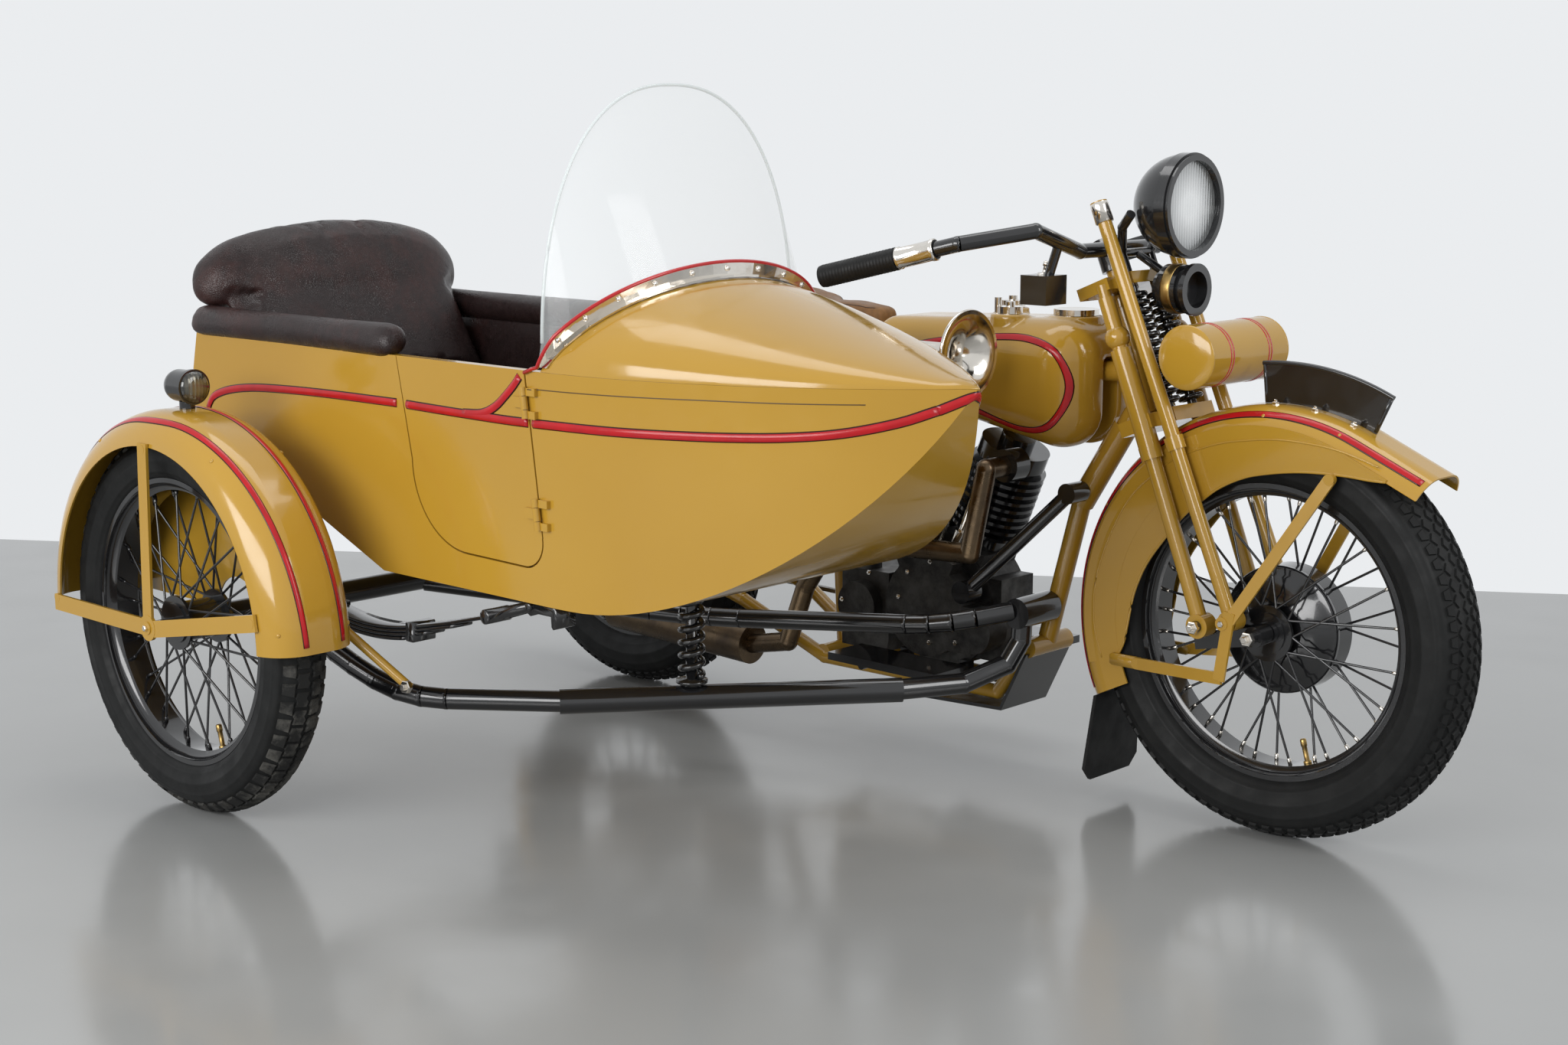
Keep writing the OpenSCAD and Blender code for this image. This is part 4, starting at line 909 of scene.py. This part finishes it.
# leather lining inside the car, one panel for each wall and one on the door
panels = {"left": {"side": 1, "body": "chassis",
                   "outline": [(-1620, 740), (-1620, 787), (-716, 787), (-716, 520), (-1090, 520), (-1540, 690)]},
          "right": {"side": -1, "body": "chassis",
                    "outline": [(-1540, 700), (-1540, 787), (-1060, 787), (-1040, 640), (-1100, 560)]},
          "door": {"side": -1, "body": "door",
                   "outline": [(-1034, 784), (-1000, 640), (-880, 510), (-752, 506), (-724, 548), (-752, 784)]}}


def liningPanel(name, panel):
    node = "sidecar_door" if panel["body"] == "door" else "sidecar_hull"
    surface = surfaceOf(node)
    side = panel["side"]
    outline = [Vector(p) for p in panel["outline"]]
    middle = sum(outline, Vector((0, 0))) / len(outline)
    rim = []
    for i, p in enumerate(outline):
        q = outline[(i + 1) % len(outline)]
        rim += [p.lerp(q, k / 8) for k in range(8)]
    rings = [1.0, 0.985, 0.95, 0.7, 0.35]
    proud = [1.0, 4.0, 6.0, 7.0, 7.0]
    verts, faces = [], []
    for grow, out in zip(rings, proud):
        for p in rim:
            q = middle + (p - middle) * grow
            hit = surface.ray_cast(at(q.x, carMid, q.y), Vector((0, side, 0)))[0]
            wall = hit.y if hit is not None else at(0, carMid + side * 267, 0).y
            verts.append(Vector((at(q.x, 0, 0).x, wall - side * out / 1000, q.y / 1000)))
    n = len(rim)
    for j in range(len(rings) - 1):
        faces += [(j * n + i, j * n + (i + 1) % n, (j + 1) * n + (i + 1) % n, (j + 1) * n + i) for i in range(n)]
    faces += [tuple(range((len(rings) - 1) * n, len(rings) * n)), tuple(range(n))[::-1]]
    obj = meshPiece(name + "Lining", verts, faces, seatHide)
    faceOut(obj)
    return settle(obj, panel["body"])


for name, panel in panels.items():
    liningPanel(name, panel)
print("car lined")

# saddle: leather top stretched over a pan
saddle = {"nose": -834, "tail": -1150, "rows": 26, "ring": 36}
widths = [(0, 12), (0.04, 26), (0.15, 34), (0.35, 44), (0.55, 78), (0.75, 116), (0.87, 126), (0.95, 112), (1, 70)]
heights = [(0, 812), (0.06, 820), (0.3, 826), (0.55, 823), (0.8, 834), (0.93, 841), (1, 836)]


def along(table, t):
    for (a, u), (b, v) in zip(table, table[1:]):
        if t <= b:
            return u + (v - u) * ease((t - a) / (b - a)) if b > a else v
    return table[-1][1]


loops = []
for j in range(saddle["rows"] + 1):
    t = j / saddle["rows"]
    x = saddle["nose"] + (saddle["tail"] - saddle["nose"]) * t
    w, top = along(widths, t), along(heights, t)
    loop = []
    for k in range(saddle["ring"]):
        a = 2 * math.pi * k / saddle["ring"]
        y = w * fuller(math.cos(a), 0.55)
        if math.sin(a) >= 0:
            z = top - 26 + 26 * abs(math.sin(a)) ** 0.6 - 5 * (1 - min(1, abs(y) / 45)) * ease((t - 0.3) / 0.4)
        else:
            z = top - 26 - 16 * abs(math.sin(a)) ** 0.5
        loop.append(at(x, y, z))
    loops.append(loop)
saddleTop = loftLoops("saddleTop", loops, saddleHide)
sub = saddleTop.modifiers.new("smooth", "SUBSURF")
sub.levels = sub.render_levels = 1
plainMesh(saddleTop)
settle(saddleTop, "chassis")
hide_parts("saddle")
saddleTree = treeOf(saddleTop)
stitch = prism([(-2.6, -0.6), (2.6, -0.6), (2.6, 0.6), (-2.6, 0.6)], 0.7, 0.7)
spots = []
for side in (-1, 1):
    for j in range(6, 96):
        t = 0.03 + 0.94 * j / 100
        x = saddle["nose"] + (saddle["tail"] - saddle["nose"]) * t
        hit, normal = saddleTree.ray_cast(at(x, side * (along(widths, t) - 8), 900), down)[:2]
        if hit is not None and normal.z > 0.2:
            spots.append((hit, pointing(normal, Vector((1, 0, 0)))))
scatter("saddleStitches", spots, stitch, seatHide, "chassis")
print("saddle made")


# cowl edge: screws in the strip, the red line behind it, and a pale half-clear bead along the screen's rim as painted
# highlight
def edgePoint(a, u, v):
    s, c = math.sin(math.radians(a)), math.cos(math.radians(a))
    return (-700 + 115 * s + v, -285 * c - u * c, 788.3 + 133 * s + u * s)


def inCar(p):
    return at(p[0], p[1] + carMid, p[2])


def stripTop(a):
    return 4 + 18 * min(1, math.sin(math.radians(a)) / 0.35)


spots = [(inCar(edgePoint(a, stripTop(a) / 2 + 2, -2)), pointing(Vector((1, 0, 0)))) for a in range(20, 161, 14)]
scatter("stripScrews", spots, roundScrew, nickel, "chassis", smooth=True)
redPath = [inCar(edgePoint(a, stripTop(a) + 1.4, -3.9)) for a in range(3, 178, 3)]
redEnds = [[at(-733, carMid + side * 288, 785), at(-714, carMid + side * 289, 792)] for side in (-1, 1)]
redPath = redEnds[0] + redPath + redEnds[1][::-1]
settle(tube("cowlRedLine", redPath, 0.003, ringRed, 10), "chassis")


def screenPoint(a, t, v):
    s, c = math.sin(math.radians(a)), math.cos(math.radians(a))
    foot, rim = edgePoint(a, 0.6, -6), (-706, -273 * fuller(c, 0.86), 802 + 411 * s ** 0.86)
    x, y, z = (foot[i] + (rim[i] - foot[i]) * t for i in range(3))
    return inCar((x + v, y, z))


rises = [0, 0.004, 0.02] + [k / 14 for k in range(1, 14)] + [0.98, 0.996, 1]
screenTurns = [a / 2 for a in range(5, 356, 3)]  # degrees round the cowl's edge
loops = [[screenPoint(a, t, -0.2) for t in rises] + [screenPoint(a, t, -3.8) for t in reversed(rises)] for a in screenTurns]
screen = loftLoops("screenPane", loops, clear)
screen.data.set_sharp_from_angle(angle=math.radians(45))
settle(screen, "chassis")
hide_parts("windscreen")
# painted highlight: pale half-clear bead round the screen's rim
settle(tube("screenEdge", [screenPoint(a, 1, -2) for a in screenTurns], 0.0027, rimHighlightFinish, 10), "chassis")

# nickel: sleeves inside the grips, caps on the spring legs
gripEnd, gripBend = Vector((-640, 405, 905)), Vector((-400, 350, 965))
gripWay = (gripBend - gripEnd).normalized()
for label, side in (("Right", -1), ("Left", 1)):
    way = Vector((gripWay.x, side * gripWay.y, gripWay.z))
    start = at(gripEnd.x, side * gripEnd.y, gripEnd.z)
    sleeve = lathe("gripSleeve" + label, start + way * 0.1435, way,
                   [(0, 15), (0.5, 18.3), (6, 18.3), (7.5, 16.9), (62, 16.9), (64, 18), (70, 18), (71, 15)], nickel)
    settle(sleeve, "steering")
    ribs = [(i * 1.5, 18.2 + (0.7 if i % 4 < 2 else 0)) for i in range(4, 92)]
    ribs = [(0.5, 14), (1, 17), (3, 18.4)] + ribs + [(139, 18.8), (142.5, 18.8), (143, 17)]
    cover = lathe("gripCover" + label, start, way, ribs, rubber)
    settle(cover, "steering")
    low, high = Vector((-37, side * 87, 366)), Vector((-318, side * 87, 1026))
    up = (high - low).normalized()
    cap = lathe("legCap" + label, at(*(high - up * 36)), up,
                [(0, 13), (0.5, 15.4), (30, 15.4), (34, 14.6), (36.4, 12), (37.6, 7)], nickel)
    settle(cap, "steering")
    spots = [(at(x, side * 109.5, z), pointing(Vector((0, side, 0)))) for x, z in ((-94, 350), (-37, 366))]
    scatter("pinNuts" + label, spots, pinNut, nickel, "steering")
band = lathe("klaxonBand", at(-207, 0, 885), Vector((-1, 0, 0)),
             [(0, 39), (0.3, 41), (3, 41.6), (15, 41.6), (18, 41), (18.3, 39)], brass)
settle(band, "steering")

# tool roll: rings round it and domed ends
toolRoll = {"middle": (-123, 786), "radius": 52, "rings": (51, 58.5), "wide": 3.2, "end": 109.5,
            "dome": [(-3, 50), (0, 52.6), (2, 52.4), (4, 50), (6.5, 42), (8.5, 30), (9.6, 16), (10, 0.6)]}
low, high = toolRoll["radius"] - 1, toolRoll["radius"] + 0.5
ringProfile = [(0, low), (0, high), (toolRoll["wide"], high), (toolRoll["wide"], low)]


def onRoll(across):
    return at(toolRoll["middle"][0], across, toolRoll["middle"][1])


for label, side in (("Right", -1), ("Left", 1)):
    out = Vector((0, side, 0))
    for n, off in enumerate(toolRoll["rings"]):
        ring = lathe("rollRing" + label + str(n), onRoll(side * off), out, ringProfile, ringRed, 64)
        settle(ring, "steering")
    dome = lathe("rollEnd" + label, onRoll(side * toolRoll["end"]), out, toolRoll["dome"], paint, 48)
    settle(dome, "steering")

# rivets along the fenders, bolts on the engine covers
fenderRivets = {"front": [(70, 52), (92, 55), (118, 55), (150, 55), (188, 55), (200, 55)],
                "rear": [(24, 55), (60, 55), (100, 55), (140, 55), (184, 55)],
                "sidecar": [(6, 66), (60, 66), (120, 66), (174, 66)]}
for name, marks in fenderRivets.items():
    f = fenderLines[name]
    ray = fenderRay(f)
    spots = []
    for degrees, across in marks:
        for side in (-1, 1):
            spot = onSurface(f["node"], *ray(math.radians(degrees) * f["radius"], side * across))
            if spot:
                spots.append(spot)
    scatter(name + "FenderRivets", spots, domeRivet, paint, f["body"], smooth=True)

coverBolts = {"timing_cover": 9, "gearbox": 7, "crankcase": 8}
for node, count in coverBolts.items():
    low, high = (Vector(c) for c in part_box(node))
    centre, half = (low + high) / 2, (high - low) / 2
    spots = []
    for k in range(count):
        a = 2 * math.pi * (k + 0.5) / count
        start = Vector((centre.x + half.x * 0.74 * math.cos(a), low.y - 0.1, centre.z + half.z * 0.74 * math.sin(a)))
        spot = onSurface(node, start, Vector((0, 1, 0)))
        if spot:
            spots.append(spot)
    if spots:
        scatter(node.title().replace("_", "") + "Bolts", spots, hexBolt, nickel, "chassis", size=0.7)

# bright nuts: plate studs on the front fender, wheel axles
f = fenderLines["front"]
ray = fenderRay(f)
spots = [onSurface("front_fender", *ray(math.radians(d) * f["radius"], -19)) for d in (70, 81, 92)]
scatter("plateStuds", spots, pinNut, nickel, "steering", size=0.55)
spots = [onSurface("rockers", at(0, side * 300, 343.5), Vector((0, -side, 0))) for side in (-1, 1)]
scatter("axleNuts", [spot for spot in spots if spot], pinNut, nickel, "steering", size=1.1)
scatter("sideAxleNut", [(at(-1400, -1222.5, 330), pointing(Vector((0, -1, 0))))], pinNut, nickel, "chassis")
for label, degrees in (("Front", 65.4), ("Rear", 96.1)):
    out = Vector((math.cos(math.radians(degrees)), 0, math.sin(math.radians(degrees))))
    edge = tube("plateEdge" + label, [at(0, 0, 343.5) + out * r / 1000 for r in (372, 390, 410, 434)], 0.0036, black)
    settle(edge, "steering")

scatter("stayBolt", [(at(-1013, -992, 254), pointing(Vector((0.2, -1, 0.1))))], pinNut, nickel, "chassis")
lever = lathe("switchLever", at(-359, -177, 908), Vector((0.25, 0, 1)),
              [(0, 11), (3, 11), (4, 4), (16, 3.4), (17, 5.5), (23, 5.5), (25, 3)], nickel, 20)
settle(lever, "steering")

# side lamp glass, brake drums, the guard under the engine
glass = lathe("sideLampGlass", at(-1376.4, -1134, 725), Vector((1, 0, 0)),
              [(0, 26.4), (1.4, 26.4), (4, 25), (7, 20.5), (9, 13), (9.7, 5)], smallLens)
settle(glass, "chassis")
for name in ("front", "rear"):
    t = tyres[name]
    drum = lathe(name + "Drum", at(t["centre"][0], 6.5, t["centre"][2]), Vector((0, -1, 0)),
                 [(0, 104.6), (0.4, 105.4), (7, 105.4), (10, 102), (11, 93), (17, 89), (18.5, 62), (23, 57), (24, 44)], black, 72)
    settle(drum, t["body"])
guardOutline = [(-469, 235.2), (-462.6, 235.2), (-517, 125), (-701, 117), (-701, 123), (-520.8, 131.2)]
guard = slab("engineGuard", guardOutline, (-66, 66), black)
shade(guard, False)
settle(guard, "chassis")

# car springs: curved leaves with clips and shackles, and a wound coil
leaf = {"path": [(-1424, 360), (-1300, 339), (-1199, 327), (-1100, 332), (-979, 356), (-862, 385)], "half": 20, "thick": 6.2,
        "ends": ((-1430, -850), (-1404, -935), (-1366, -1005), (-1320, -1072)), "clips": (-1290, -1055),
        "section": ((-1, -0.5), (-0.9, -1), (0.9, -1), (1, -0.5), (1, 0.5), (0.9, 1), (-0.9, 1), (-1, 0.5)),
        "clip": ((-9, -25), (9, -25), (10, -22), (10, 5), (8, 7), (-8, 7), (-10, 5), (-10, -22)),
        "block": [(-1425, 351), (-1376, 351), (-1378, 357), (-1382, 366), (-1420, 366), (-1425, 362)],
        "bracket": [(-772, 429.5), (-690, 429.5), (-690, 393), (-699, 390), (-703, 394), (-704, 410), (-735, 410),
                    (-752, 404), (-768, 412)], "eye": (-858, 387), "pin": (-752, 420)}
coil = {"place": (-777, -578), "low": 221.5, "high": 429.5, "radius": 17.8, "wire": 0.0061, "turns": 7}
made = []
line = smoothPath(leaf["path"], 12)
for y in (-930, -430):
    for n, (start, end) in enumerate(leaf["ends"]):
        loops = []
        for p in line:
            if start < p.x < end:
                z = p.y - n * (leaf["thick"] + 0.2)
                loops.append([at(p.x, y + u * leaf["half"], z + v * leaf["thick"] / 2) for u, v in leaf["section"]])
        made.append(loftLoops("leaf", loops, black))
    for x in leaf["clips"]:
        z = min(line, key=lambda p: abs(p.x - x)).y
        made.append(slab("clip", [(x + u, z + v) for u, v in leaf["clip"]], (y - 23, y + 23), black))
    made.append(slab("saddleBlock", leaf["block"], (y - 22, y + 22), black))
    made.append(slab("bracket", leaf["bracket"], (y - 19, y + 19), black))
    for spot, r in ((leaf["eye"], 12), (leaf["pin"], 7)):
        profile = [(0, r * 0.6), (1, r * 0.8), (2, r), (50, r), (51, r * 0.8), (52, r * 0.6)]
        made.append(lathe("pin", at(spot[0], y - 26, spot[1]), Vector((0, 1, 0)), profile, black, 20))
    way = (Vector(leaf["pin"]) - Vector(leaf["eye"])).normalized()
    flank = Vector((-way.y, way.x))
    ends = [Vector(leaf["eye"]) - way * 9, Vector(leaf["pin"]) + way * 7]
    for side in (-1, 1):
        outline = [ends[0] + flank * 6, ends[0] + flank * 10 + way * 6, ends[1] + flank * 8 - way * 6, ends[1] + flank * 4,
                   ends[1] - flank * 4, ends[1] - flank * 8 - way * 6, ends[0] - flank * 10 + way * 6, ends[0] - flank * 6]
        made.append(slab("shackle", [tuple(q) for q in outline], sorted((y + side * 20.5, y + side * 24)), black))
steps = coil["turns"] * 24
wire = []
for k in range(steps + 1):
    a = k * math.pi / 12
    z = coil["low"] + 16 + (coil["high"] - coil["low"] - 54) * k / steps
    wire.append(at(coil["place"][0] + coil["radius"] * math.cos(a), coil["place"][1] + coil["radius"] * math.sin(a), z))
made.append(tube("coil", wire, coil["wire"], black))
made.append(lathe("coilSeats", at(*coil["place"], coil["low"]), Vector((0, 0, 1)),
                  [(0, 18), (1, 20), (4, 20), (5, 27), (10, 27), (12, 10), (170, 10), (180, 12), (184, 28), (186, 30),
                   (204, 30), (206.5, 26)], black))
springs = joined("carSprings", made)
settle(springs, "chassis")
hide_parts("sidecar_springs")
print("fittings fixed")

# floor, backdrop and light
floorFinish, shader = newFinish("studioFloor", {"IOR": 1.6})
where = place(floorFinish)
patches = spread(floorFinish, cloud(floorFinish, where, 1.3, 5), 0, 1)
link(floorFinish, blendTones(floorFinish, patches, tone(0.33, 0.335, 0.33), tone(0.37, 0.375, 0.37)), shader, "Base Color")
link(floorFinish, spread(floorFinish, cloud(floorFinish, where, 5, 5), 0.12, 0.22), shader, "Roughness")
farEdge = [at(-3983, -155, -0.5), at(-470, 2149, -0.5)]
ahead = (farEdge[1] - farEdge[0]).normalized()
toCamera = Vector((ahead.y, -ahead.x, 0))
farEdge = [farEdge[0] - ahead * 20, farEdge[1] + ahead * 20]
corners = [farEdge[0], farEdge[0] + toCamera * 30, farEdge[1] + toCamera * 30, farEdge[1]]
floor = meshPiece("studioFloor", corners, [(0, 1, 2, 3)], floorFinish)
floor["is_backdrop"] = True

world = scene.world or bpy.data.worlds.new("studioWorld")
scene.world = world
world.use_nodes = True
sky = world.node_tree.nodes
sky["Background"].inputs["Color"].default_value = (0.92, 0.94, 0.96, 1)
rays = sky.new("ShaderNodeLightPath")
through = sky.new("ShaderNodeMath")
seen = sky.new("ShaderNodeMath")
through.operation = seen.operation = "MAXIMUM"
tie = world.node_tree.links.new
tie(rays.outputs["Is Camera Ray"], through.inputs[0])
tie(rays.outputs["Is Transmission Ray"], through.inputs[1])
tie(through.outputs[0], seen.inputs[0])
tie(rays.outputs["Is Glossy Ray"], seen.inputs[1])
level = sky.new("ShaderNodeMapRange")
level.inputs["To Min"].default_value = 0.5
level.inputs["To Max"].default_value = 0.9
tie(seen.outputs[0], level.inputs["Value"])
tie(level.outputs["Result"], sky["Background"].inputs["Strength"])

lamps = {"key": {"place": (0.4, -5.0, 2.1), "size": (4.4, 2.0), "power": 190, "aim": (0, -0.3, 0.5)},
         "side": {"place": (4.6, 0.6, 2.6), "size": (1.6, 2.4), "power": 70, "aim": (0.2, 0, 0.5)},
         "top": {"place": (-0.4, 0.6, 4.4), "size": (4.0, 1.4), "power": 40, "aim": (0, 0, 0.4)}}
for name, lamp in lamps.items():
    data = bpy.data.lights.new(name + "Lamp", "AREA")
    data.shape = "RECTANGLE"
    data.size, data.size_y = lamp["size"]
    data.energy = lamp["power"]
    obj = bpy.data.objects.new(name + "Lamp", data)
    obj.location = lamp["place"]
    obj.rotation_euler = (Vector(lamp["aim"]) - Vector(lamp["place"])).to_track_quat("-Z", "Y").to_euler()
    scene.collection.objects.link(obj)
print("studio lit")

low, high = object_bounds()
